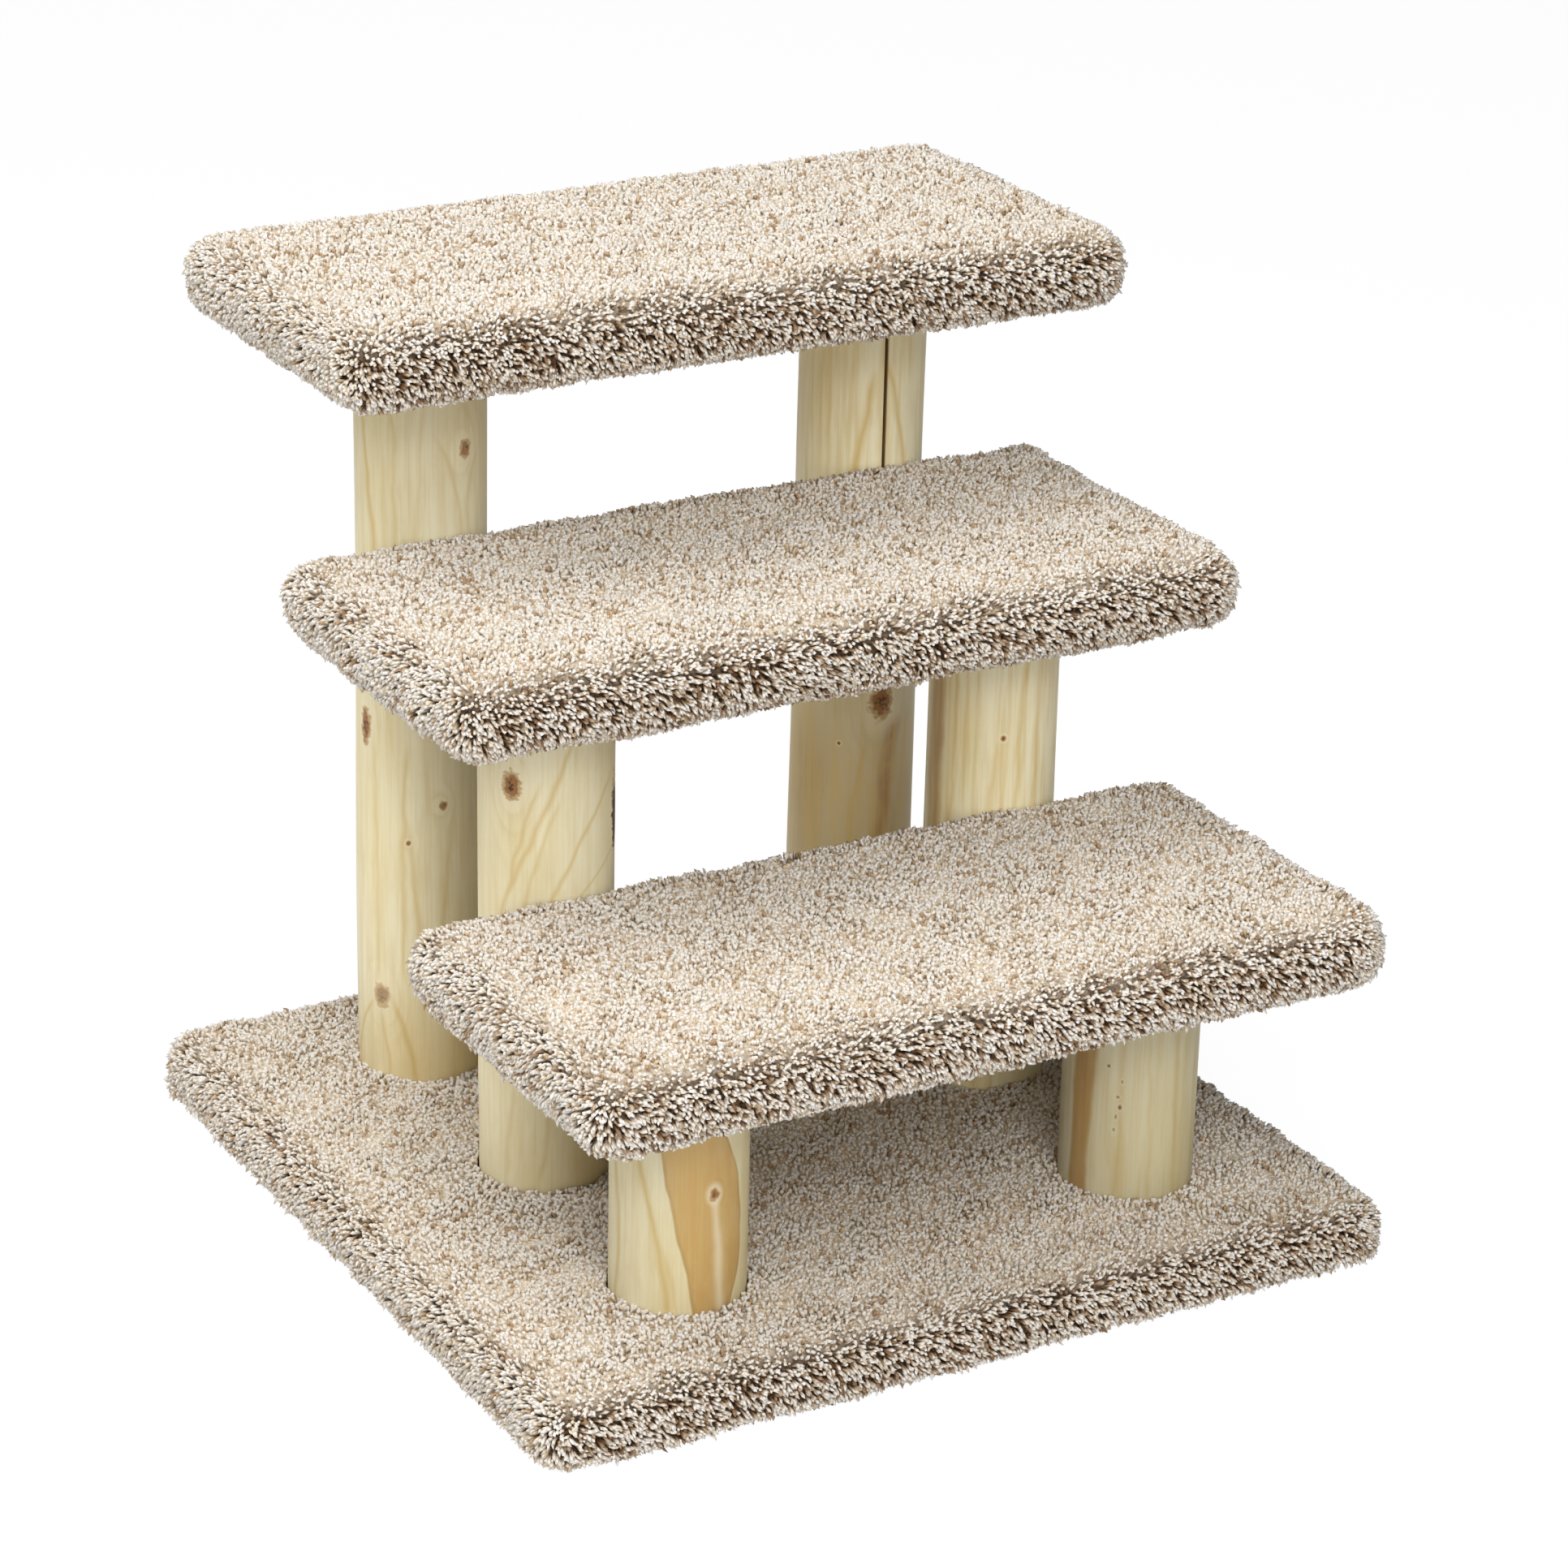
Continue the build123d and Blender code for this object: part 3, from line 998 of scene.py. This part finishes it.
def makeGrowthGroup():
    # Growth rings round a pith that wanders: distance from the pith over the ring width, with each
    # ring darkening slowly and ending sharply. Fibre and tone are noises drawn out along the trunk.
    inputs = {
        "Place": (0, 0, 0),
        "Pith X": 0.012,
        "Pith Y": 0.0,
        "Tilt X": 0.0,
        "Tilt Y": 0.0,
        "Ring Width": 0.003,
        "Wander": 0.012,
        "Bulge": 0.0,
    }
    tree, given, result = newGroup("growthGrain", inputs, ("Late", "Fibre", "Tone"))
    x, y, z = parts(given["Place"])
    slow = drawn(given["Place"], 1, 1, 0.3)
    warp = timesPlus(minus(noise(slow, 24.0), 0.5), given["Wander"], given["Bulge"])
    offX = minus(x, timesPlus(z, given["Tilt X"], given["Pith X"]))
    offY = minus(y, timesPlus(z, given["Tilt Y"], given["Pith Y"]))
    distance = maths("ADD", fromAxis(offX, offY), warp)
    ring = maths("FRACT", maths("DIVIDE", distance, given["Ring Width"]))
    late = times(maths("POWER", ring, 2.6), smoothStep(ring, 1.0, 0.74))
    late = times(late, smoothStep(noise(slow, 30.0, 1.0), 0.34, 0.66))
    fibre = noise(drawn(given["Place"], 1, 1, 0.03), 620.0, 3.0)
    fill(result, {"Late": late, "Fibre": fibre, "Tone": noise(slow, 11.0, 3.0)})
    return tree


def makeKnotGroup():
    # One knot: an oval about its centre, by distance over its half sizes, ragged a little by noise. The
    # bulge is exp(-(distance / reach) ** 2) and bends the growth rings into ovals round the knot.
    inputs = {"Place": (0, 0, 0), "Centre": (0, 0, 0), "Half Size": (0.005, 0.008, 1)}
    tree, given, result = newGroup("knotMark", inputs, ("Core", "Heart", "Rim", "Halo", "Bulge"))
    off = vectors("SUBTRACT", given["Place"], given["Centre"])[0]
    scaled = vectors("DIVIDE", off, given["Half Size"])[0]
    length = vectors("LENGTH", scaled)["Value"]
    far = vectors("LENGTH", drawn(scaled, 0.36, 0.30, 0))["Value"]
    ragged = maths("ADD", length, timesPlus(noise(given["Place"], 260.0), 1.3, -0.65))
    dark = noise(given["Place"], 430.0, 3.0, 0.6)
    fill(result, {
        "Core": smoothStep(ragged, 1.05, 0.65),
        "Heart": smoothStep(timesPlus(length, -0.32, dark), 0.36, 0.50),
        "Rim": smoothStep(maths("ABSOLUTE", minus(ragged, 1.0)), 0.30, 0.0),
        "Halo": smoothStep(length, 2.6, 1.2),
        "Bulge": maths("EXPONENT", times(times(far, far), -1.0)),
    })
    return tree


def makeBandGroup():
    # A band up the post between two edges, each x = a + b * t + c * t * t over its heights with t from 0
    # to 1, a little wavy. It ends softly above and below. The border is a thin line along both edges.
    inputs = {
        "Place": (0, 0, 0),
        "Low": 0.0,
        "High": 0.1,
        "Left": (-0.01, 0, 0),
        "Right": (0.01, 0, 0),
        "Soft": 0.001,
        "Fade": 0.01,
    }
    tree, given, result = newGroup("grainBand", inputs, ("Mask", "Border"))
    x, y = parts(given["Place"])[:2]
    above = minus(y, given["Low"])
    below = minus(given["High"], y)
    share = maths("DIVIDE", above, minus(given["High"], given["Low"]))
    bend = noise(drawn(given["Place"], 0.6, 0.4, 1), 90.0, 1.5)
    across = maths("ADD", x, timesPlus(bend, 0.006, -0.003))
    insides = []
    for label, sign in (("Left", 1), ("Right", -1)):
        a, b, c = parts(given[label])
        edge = timesPlus(timesPlus(c, share, b), share, a)
        insides.append(times(minus(across, edge), sign))
    nearest = maths("MINIMUM", *insides)
    mask = smoothStep(maths("DIVIDE", nearest, given["Soft"]), -0.5, 0.5)
    border = smoothStep(maths("ABSOLUTE", maths("ADD", nearest, -0.0009)), 0.0021, 0.0)
    inFades = (maths("DIVIDE", v, given["Fade"]) for v in (above, below))
    ends = smoothStep(maths("MINIMUM", *inFades), -1.0, 0.0)
    fill(result, {"Mask": times(mask, ends), "Border": times(border, ends)})
    return tree


growthGroup = makeGrowthGroup()
knotGroup = makeKnotGroup()
bandGroup = makeBandGroup()

# A knot is (degrees right of straight ahead, height over the floor, half width, half height, darkness).
# A band is (low, high, left edge's degrees at its foot, middle and top, the same of its right edge,
# colour, softness, length of its faded ends) and a line (low, high, degrees at its foot, middle and top,
# width, strength).
# depth scales all a post's colours to match its brightness under these lamps: above 1 it is painted light on
# a post in shade, below 1 painted shade.
postFeatures = {
    "rear_left_post": {
        "depth": 0.98,
        # (low, high, colour, share): warmer and darker towards the foot, partly the wood's own tone and
        # partly painted shade
        "toneAndShadeLow": (0.047, 0.125, (230, 204, 146), 0.5),
        "pith": (0.015, 0.004),
        "tilt": (0.010, -0.012),
        "ring": 0.0062,
        "knots": (
            (17, 0.484, 0.0038, 0.0062, 0.9),
            (-82, 0.292, 0.0046, 0.0120, 1.0),
            (-7, 0.242, 0.0027, 0.0030, 0.9),
            (-38, 0.216, 0.0016, 0.0017, 1.0),
            (-65, 0.103, 0.0056, 0.0078, 0.75),
            (118, 0.330, 0.0060, 0.0085, 0.8),
            (-140, 0.150, 0.0045, 0.0070, 0.7),
        ),
        "lines": (
            (0.400, 0.560, (-68, -81, -95), 0.0026, 0.75),
            (0.420, 0.530, (-48, -49, -50), 0.0022, 0.45),
            (0.420, 0.530, (-29, -26, -22), 0.0022, 0.35),
            (0.420, 0.480, (12, 10, -3), 0.0020, 0.4),
            (0.420, 0.470, (24, 20, 26), 0.0020, 0.35),
            (0.130, 0.270, (-43, -43, -40), 0.0022, 0.55),
            (0.120, 0.215, (-27, -31, -37), 0.0022, 0.5),
            (0.110, 0.280, (-70, -68, -72), 0.0022, 0.4),
            (0.100, 0.200, (-4, -8, -3), 0.0020, 0.4),
            (0.047, 0.100, (-33, -41, -54), 0.0024, 0.7),
            (0.047, 0.086, (-58, -60, -64), 0.0020, 0.5),
            (0.047, 0.092, (-100, -97, -80), 0.0022, 0.6),
        ),
    },
    "rear_right_post": {
        "depth": 1.04,
        "toneAndShadeLow": (0.190, 0.330, (178, 144, 86), 0.80),
        "figure": 0.50,
        "pith": (-0.012, 0.009),
        "tilt": (0.016, 0.010),
        "ring": 0.0070,
        "knots": (
            (-4, 0.258, 0.0078, 0.0125, 1.0),
            (-42, 0.227, 0.0012, 0.0012, 1.0),
            (-80, 0.262, 0.0016, 0.0016, 0.8),
            (104, 0.420, 0.0055, 0.0075, 0.8),
        ),
        "bands": ((0.130, 0.236, (-7, -6, 1), (4, 9, 15), (184, 142, 90), 0.012, 0.012),),
        "lines": (
            (0.400, 0.560, (-12, -12, -12), 0.0030, 0.45),
            (0.425, 0.478, (-35, -28, -22), 0.0034, 0.85),
            (0.430, 0.490, (13, 6, -5), 0.0026, 0.75),
            (0.410, 0.520, (-62, -60, -64), 0.0024, 0.35),
            (0.120, 0.215, (-32, -30, -20), 0.0026, 0.5),
        ),
        "crack": True,
    },
    "middle_left_post": {
        "pith": (0.004, 0.017),
        "tilt": (0.040, -0.010),
        "ring": 0.0066,
        "knots": (
            (-56, 0.322, 0.0060, 0.0090, 1.0),
            (50, 0.350, 0.0042, 0.0100, 1.0),
            (150, 0.200, 0.0050, 0.0080, 0.75),
            (-120, 0.110, 0.0048, 0.0070, 0.6),
        ),
        "lines": (
            (0.262, 0.350, (-53, -28, -6), 0.0024, 0.65),
            (0.235, 0.312, (-66, -53, -37), 0.0022, 0.55),
            (0.236, 0.300, (-46, -36, -22), 0.0020, 0.4),
            (0.240, 0.312, (-26, -2, 31), 0.0022, 0.6),
            (0.238, 0.275, (-4, 20, 56), 0.0020, 0.5),
            (0.060, 0.160, (-30, -20, -14), 0.0022, 0.4),
            (0.060, 0.160, (-62, -56, -52), 0.0022, 0.4),
        ),
        "bark": (49, 0.292, 6, 0.028),       # degrees, height, half its degrees, half its height
    },
    "middle_right_post": {
        "depth": 1.04,
        "figure": 0.60,
        "pith": (-0.014, -0.006),
        "tilt": (-0.010, 0.016),
        "ring": 0.0056,
        "knots": (
            (-22, 0.296, 0.0018, 0.0019, 1.0),
            (95, 0.300, 0.0052, 0.0080, 0.8),
            (-160, 0.170, 0.0040, 0.0066, 0.7),
        ),
        "bands": ((0.030, 0.390, (-102, -102, -102), (-80, -82, -78), (192, 158, 104), 0.009, 0.012),),
        "lines": (
            (0.230, 0.340, (-11, -8, -4), 0.0024, 0.55),
            (0.228, 0.282, (-33, -31, -28), 0.0026, 0.5),
            (0.228, 0.345, (-70, -67, -66), 0.0020, 0.45),
            (0.228, 0.345, (8, 11, 14), 0.0022, 0.45),
        ),
    },
    "front_left_post": {
        "depth": 0.96,
        "pith": (-0.010, 0.014),
        "tilt": (0.030, 0.020),
        "ring": 0.0074,
        "knots": (
            (1, 0.123, 0.0030, 0.0038, 1.0),
            (130, 0.120, 0.0050, 0.0070, 0.7),
        ),
        "bands": ((0.042, 0.160, (-15, -30, -46), (19, 33, 12), (200, 164, 102), 0.0012, 0.050),),
        "palest": (0.040, 0.116, (9, 6, 2), 0.0050),
        "lines": (
            (0.050, 0.150, (-36, -49, -66), 0.0026, 0.75),
            (0.040, 0.130, (-91, -87, -92), 0.0026, 0.7),
            (0.042, 0.075, (-28, -32, -37), 0.0018, 0.4),
        ),
    },
    "front_right_post": {
        "depth": 0.86,
        "figure": 0.35,
        "pith": (0.016, 0.006),
        "tilt": (-0.014, 0.008),
        "ring": 0.0050,
        "knots": (
            (-52, 0.137, 0.0011, 0.0012, 0.9),
            (-41, 0.109, 0.0013, 0.0016, 0.9),
            (-43, 0.116, 0.0010, 0.0010, 0.8),
            (-44, 0.102, 0.0008, 0.0016, 0.7),
            (-45, 0.093, 0.0009, 0.0012, 0.6),
            (-40, 0.127, 0.0008, 0.0014, 0.6),
            (100, 0.110, 0.0048, 0.0072, 0.75),
        ),
        "bands": ((0.040, 0.200, (-88, -87, -86), (-70, -65, -60), (168, 130, 80), 0.005, 0.012),),
        "lines": (
            (0.047, 0.150, (-42, -40, -40), 0.0024, 0.5),
            (0.047, 0.150, (-14, -15, -18), 0.0022, 0.4),
            (0.047, 0.150, (12, 10, 8), 0.0022, 0.45),
        ),
    },
}

woodColours = {
    "pale": (239, 231, 198),
    "warm": (232, 217, 170),
    "late": (210, 182, 112),
    "line": (207, 174, 96),
    "fibre": (210, 191, 143),
    "blotch": (216, 196, 146),
    "knotCore": (152, 106, 58),
    "knotHeart": (74, 46, 26),
    "knotRim": (180, 138, 74),
    "halo": (236, 224, 190),
    # painted shade inside the drying crack
    "inside": (112, 84, 46),
    "bark": (88, 64, 42),
}

grainValues = {
    "blotch": 0.30,          # shares of the layers of colour
    "palest": 0.7,
    "rings": 0.50,
    "ringsBehind": 0.40,     # added on the far side, where no line of the photo is placed
    "figure": 0.25,          # streaks along the trunk, where a post names no other share
    "fibre": 0.30,
    "halo": 0.6,
    "rim": 0.75,
    "border": 0.5,
    "crispBand": 0.0015,     # a band softer than this has a fainter border
    "borderShade": 0.80,     # a band's border and mottling, in shares of its colour
    "mottle": (0.93, 0.90, 0.84),
    "lineSoftness": 2.1,     # a line's softness and half width, in its widths
    "lineHalf": 0.6,
    "lineFade": 0.02,        # length of a line's faded ends
    "ringBend": 3.2,         # how far a knot bends the rings, in its half widths
    "crackEdge": (0.0012, 0.0040),     # depths between which the crack's painted shade sets in
}

postShape = {
    "columns": 96,
    "rowPitch": 0.0066,
    "chamfer": 0.0015,
    "chamferRows": (0.0, 0.35, 0.7, 1.0),
    "swellHeight": 0.0006,
    "barkHeight": 0.0012,
    "unevenness": 0.00055,
    "crackAngle": -8.0,
    "crackLength": 0.150,
    "crackWidth": 0.0034,
    "crackDepth": 0.020,
    "crackFade": 0.02,       # how far up from its foot the crack reaches its full depth
    "skinStart": 0.01,       # where the unwrapped skin starts, and its width and height
    "skinWidth": 0.98,
    "skinHeight": 0.79,
    "discRadius": 0.075,     # the unwrapped ends, discs above the skin
    "discs": ((0.15, 0.905), (0.40, 0.905)),
}


def knotAt(place, post, angle, height, halfWidth, halfHeight):
    centre = (math.radians(angle) * post["radius"], height - post["foot"], 0)
    inputs = {"Place": place, "Centre": centre, "Half Size": (halfWidth, halfHeight, 1)}
    return useGroup(treeOf(place), knotGroup, inputs)


def bandAt(place, post, low, high, left, right, soft, fade, aside=0.0):
    # The edges' degrees become a + b * t + c * t * t in metres round the post, both moved outwards.
    foot = post["foot"]
    inputs = {"Place": place, "Low": low - foot, "High": high - foot, "Soft": soft, "Fade": fade}
    for label, angles, moved in (("Left", left, -aside), ("Right", right, aside)):
        first, middle, last = (math.radians(a) * post["radius"] + moved for a in angles)
        inputs[label] = (first, 4 * middle - 3 * first - last, 2 * first - 4 * middle + 2 * last)
    return useGroup(treeOf(place), bandGroup, inputs)


def growthAt(place, pith, tilt, ring, bulge=0.0):
    inputs = {"Place": place, "Pith X": pith[0], "Pith Y": pith[1], "Tilt X": tilt[0], "Tilt Y": tilt[1]}
    return useGroup(treeOf(place), growthGroup, {**inputs, "Ring Width": ring, "Bulge": bulge})


def finishWood(shader, colour, grain, leastRough, moreRough, strength, distance):
    # Rougher where the fibre shows, and raised there and at the ring lines.
    height = maths("ADD", grain["Fibre"], times(grain["Late"], 0.5))
    rough = timesPlus(grain["Fibre"], moreRough, leastRough)
    fill(shader, {"Base Color": colour, "Roughness": rough, "Normal": bump(height, strength, distance)})


def postMaterial(name, post, features):
    # Layers of colour: plain wood, a warmer, darker foot that is partly the wood's tone and partly painted
    # shade, bands, blotches, ring lines, placed lines, figure, fibre, knots, bark and painted shade inside
    # the crack.
    material, tree, shader = newMaterial(name + "_timber")
    look = grainValues
    shape = postShape
    # Painted light and shade: depth scales all the colours, lighter for a post in shade, darker for a
    # well-lit one.
    depth = features.get("depth", 1.0)
    wood = {key: tuple(min(c * depth, 252) for c in tint) for key, tint in woodColours.items()}
    radius = post["radius"]
    foot = post["foot"]
    # Unwrapped place in metres: across from straight ahead, and up from the foot.
    scaleX = 2 * math.pi * radius / shape["skinWidth"]
    scaleY = (post["top"] - foot) / shape["skinHeight"]
    spot = skinPlace(tree)
    shift = (-0.5 * scaleX, -shape["skinStart"] * scaleY, 0)
    place = mapped(spot, Location=shift, Scale=(scaleX, scaleY, 1))
    centred = mapped(solidPlace(tree), Location=(-post["x"], -post["y"], 0))
    marks = []
    bulge = 0.0
    for angle, height, halfWidth, halfHeight, dark in features["knots"]:
        mark = knotAt(place, post, angle, height, halfWidth, halfHeight)
        marks.append((mark, dark))
        bulge = timesPlus(mark["Bulge"], look["ringBend"] * halfWidth, bulge)
    grain = growthAt(centred, features["pith"], features["tilt"], features["ring"], bulge)
    shade = smoothStep(grain["Tone"], 0.30, 0.72)
    colour = mixColour(shade, wood["pale"], wood["warm"])
    if "toneAndShadeLow" in features:
        # Warmer and darker towards the foot: partly the wood's own tone, partly painted shade.
        low, high, tint, share = features["toneAndShadeLow"]
        toneAndShadeBelow = smoothStep(parts(place)["Y"], high - foot, low - foot)
        cloudy = timesPlus(smoothStep(grain["Tone"], 0.35, 0.65), 0.5, 0.6)
        colour = layer(colour, tint, times(toneAndShadeBelow, cloudy), share)
    for low, high, left, right, tint, soft, fade in features.get("bands", ()):
        band = bandAt(place, post, low, high, left, right, soft, fade)
        mottled = mixColour(shade, tint, [c * m for c, m in zip(tint, look["mottle"])])
        colour = layer(colour, mottled, band["Mask"])
        edge = [c * look["borderShade"] for c in tint]
        colour = layer(colour, edge, band["Border"], look["border"] * min(1, look["crispBand"] / soft))
    blotch = smoothStep(noise(drawn(centred, 1, 1, 0.35), 55.0, 4.0, 0.65), 0.42, 0.72)
    colour = layer(colour, wood["blotch"], blotch, look["blotch"])
    if "palest" in features:
        low, high, angles, width = features["palest"]
        band = bandAt(place, post, low, high, angles, angles, width * 1.3, look["lineFade"], width / 2)
        colour = layer(colour, wood["halo"], band["Mask"], look["palest"])
    x, y = parts(centred)[:2]
    behind = smoothStep(timesPlus(y, 1.7, x), 0.01, 0.05)
    late = times(grain["Late"], timesPlus(behind, look["ringsBehind"], look["rings"]))
    colour = layer(colour, wood["late"], late)
    for low, high, angles, width, strength in features["lines"]:
        soft = width * look["lineSoftness"]
        aside = width * look["lineHalf"]
        band = bandAt(place, post, low, high, angles, angles, soft, look["lineFade"], aside)
        colour = layer(colour, wood["line"], band["Mask"], strength)
    figure = smoothStep(noise(drawn(centred, 1, 1, 0.05), 190.0, 3.0), 0.42, 0.70)
    colour = layer(colour, wood["late"], figure, features.get("figure", look["figure"]))
    colour = layer(colour, wood["fibre"], smoothStep(grain["Fibre"], 0.45, 0.8), look["fibre"])
    for mark, dark in marks:
        colour = layer(colour, wood["halo"], mark["Halo"], look["halo"])
        colour = layer(colour, wood["knotRim"], mark["Rim"], dark * look["rim"])
        core = mixColour(mark["Heart"], wood["knotCore"], wood["knotHeart"])
        colour = layer(colour, core, mark["Core"], dark)
    if "bark" in features:
        angle, height, halfDegrees, halfHeight = features["bark"]
        mark = knotAt(place, post, angle, height, math.radians(halfDegrees) * radius, halfHeight)
        colour = layer(colour, wood["bark"], mark["Core"])
    # Painted shade: in the drying crack, below the surface, the wood is painted darker.
    crackShade = smoothStep(fromAxis(x, y), *(radius - depth for depth in look["crackEdge"]))
    onSkin = maths("LESS_THAN", parts(spot)["Y"], shape["skinStart"] + shape["skinHeight"])
    colour = layer(colour, wood["inside"], times(crackShade, onSkin))
    finishWood(shader, colour, grain, 0.46, 0.16, 0.25, 0.0003)
    fill(shader, {"Specular IOR Level": 0.35})
    return material


def makePost(name, post, features, seed):
    # The post's skin: radius = nominal - chamfer at the ends + slow swells + a rise at each knot - a wedge
    # at the drying crack. Place = axis + radius * (sin angle, -cos angle), so angle 0 faces the front.
    values = postShape
    rng = np.random.default_rng(seed)
    nominal = post["radius"]
    length = post["top"] - post["foot"]
    angles = np.linspace(-math.pi, math.pi, values["columns"] + 1)[:-1]
    count = int(round(length / values["rowPitch"]))
    ends = values["chamfer"] * np.array(values["chamferRows"])
    rows = np.concatenate([ends, np.linspace(0, length, count + 1)[1:-1], length - ends[::-1]])
    crackAt = math.radians(values["crackAngle"])
    crackHalf = values["crackWidth"] / 2 / nominal
    crackFoot = length - values["crackLength"]
    if features.get("crack"):
        steps = np.array([0.35, 0.7, 1.0, 1.35, 2.0])
        close = crackAt + crackHalf * np.concatenate([-steps, [0.0], steps])
        angles = angles[np.abs(angles - crackAt) > crackHalf * 2.2]
        angles = np.sort(np.concatenate([angles, close]))
        rows = np.unique(np.concatenate([rows, crackFoot + np.linspace(-0.002, values["crackFade"], 8)]))
    angle, rise = np.meshgrid(angles, rows)
    shape = np.stack([np.cos(angle), np.sin(angle), rise * 6.0], axis=2).reshape(-1, 3)
    radius = nominal + values["unevenness"] * softWaves(shape, 2.2, rng).reshape(angle.shape)
    radius -= values["unevenness"]
    for degrees, height, halfWidth, halfHeight, _ in features["knots"]:
        across = (angle - math.radians(degrees)) * nominal / (halfWidth * 2.0)
        up = (rise + post["foot"] - height) / (halfHeight * 2.0)
        radius += values["swellHeight"] * min(halfWidth / 0.005, 1.2) * np.exp(-(across**2) - up**2)
    if "bark" in features:
        degrees, height, halfDegrees, halfHeight = features["bark"]
        across = (angle - math.radians(degrees)) / math.radians(halfDegrees)
        up = (rise + post["foot"] - height) / halfHeight
        radius += values["barkHeight"] * np.exp(-(across**2) - up**4)
    radius -= np.clip(values["chamfer"] - np.minimum(rise, length - rise), 0, None)
    if features.get("crack"):
        beside = np.clip(1 - np.abs(angle - crackAt) / crackHalf, 0, 1)
        radius -= values["crackDepth"] * beside * np.clip((rise - crackFoot) / values["crackFade"], 0, 1)
    x = post["x"] + radius * np.sin(angle)
    y = post["y"] - radius * np.cos(angle)
    skin = np.column_stack([x.ravel(), y.ravel(), (rise + post["foot"]).ravel()])
    hubs = [[post["x"], post["y"], post["foot"]], [post["x"], post["y"], post["top"]]]
    columns = len(angles)
    quads = tubeFaces(len(rows), columns)
    lowFan = fanFaces(0, columns, len(skin))[:, [1, 0, 2]]
    highFan = fanFaces((len(rows) - 1) * columns, columns, len(skin) + 1)
    corners = np.concatenate([quads.ravel(), lowFan.ravel(), highFan.ravel()])
    walls = quads.size // 4
    sizes = np.repeat([4, 3], [walls, 2 * columns])
    # Unwrapped: the skin below, and the two ends as discs above it.
    start = values["skinStart"]
    u = start + values["skinWidth"] * (angles / (2 * math.pi) + 0.5)
    v = start + values["skinHeight"] * rows / length
    uv = [tubeUv(u, np.append(u[1:], start + values["skinWidth"]), v)]
    disc = values["discRadius"] * np.column_stack([np.sin(angles), -np.cos(angles)])
    after = np.roll(disc, -1, axis=0)
    for middle, pair in zip(values["discs"], ((after, disc), (disc, after))):
        uv.append((np.stack([*pair, np.zeros_like(disc)], axis=1) + middle).reshape(-1, 2))
    piece = meshFrom(name + "_log", np.concatenate([skin, hubs]), corners, sizes, np.concatenate(uv))
    piece.data.polygons.foreach_set("use_smooth", np.arange(len(sizes)) < walls)
    finishPiece(piece, postMaterial(name, post, features), "timber", name)


for seed, (name, post) in enumerate(posts.items(), 70):
    makePost(name, post, postFeatures[name], seed)
print("posts ready")


# Boards, screws and staples keep their CAD shapes

boardValues = {
    "pale": (224, 204, 160),
    "warm": (210, 184, 134),
    "late": (182, 142, 90),
    "fibre": (186, 156, 110),
    "pith": (0.05, 0.03),
    "tilt": (0.05, 0.04),
    "ring": 0.0034,
}


def boardMaterial(values):
    # Growth rings of a trunk that ran along the board's length, with its pith far below.
    material, tree, shader = newMaterial("softwoodBoard")
    turned = mapped(solidPlace(tree), Rotation=(0, math.radians(90), 0))
    grain = growthAt(turned, values["pith"], values["tilt"], values["ring"])
    colour = mixColour(smoothStep(grain["Tone"], 0.3, 0.7), values["pale"], values["warm"])
    colour = layer(colour, values["late"], grain["Late"], 0.8)
    colour = layer(colour, values["fibre"], smoothStep(grain["Fibre"], 0.45, 0.8), 0.3)
    finishWood(shader, colour, grain, 0.5, 0.2, 0.3, 0.0004)
    return material


def metalMaterial(name, first, second, roughness):
    # Plating that varies a little in colour, with fine marks from handling.
    material, tree, shader = newMaterial(name)
    place = solidPlace(tree)
    marks = noise(place, 900.0)
    fill(shader, {
        "Base Color": mixColour(smoothStep(noise(place, 160.0, 3.0), 0.35, 0.65), first, second),
        "Roughness": timesPlus(marks, 0.25, roughness),
        "Metallic": 1.0,
        "Normal": bump(marks, 0.15, 0.0002),
    })
    return material


keptMaterials = {
    "_board": boardMaterial(boardValues),
    "_screws": metalMaterial("yellowZinc", (214, 190, 116), (196, 176, 128), 0.26),
    "_staples": metalMaterial("galvanisedWire", (200, 202, 204), (178, 180, 182), 0.3),
}
for name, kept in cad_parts.items():
    for ending, material in keptMaterials.items():
        if name.endswith(ending):
            kept.data.materials.clear()
            kept.data.materials.append(material)
print("boards, screws and staples ready")
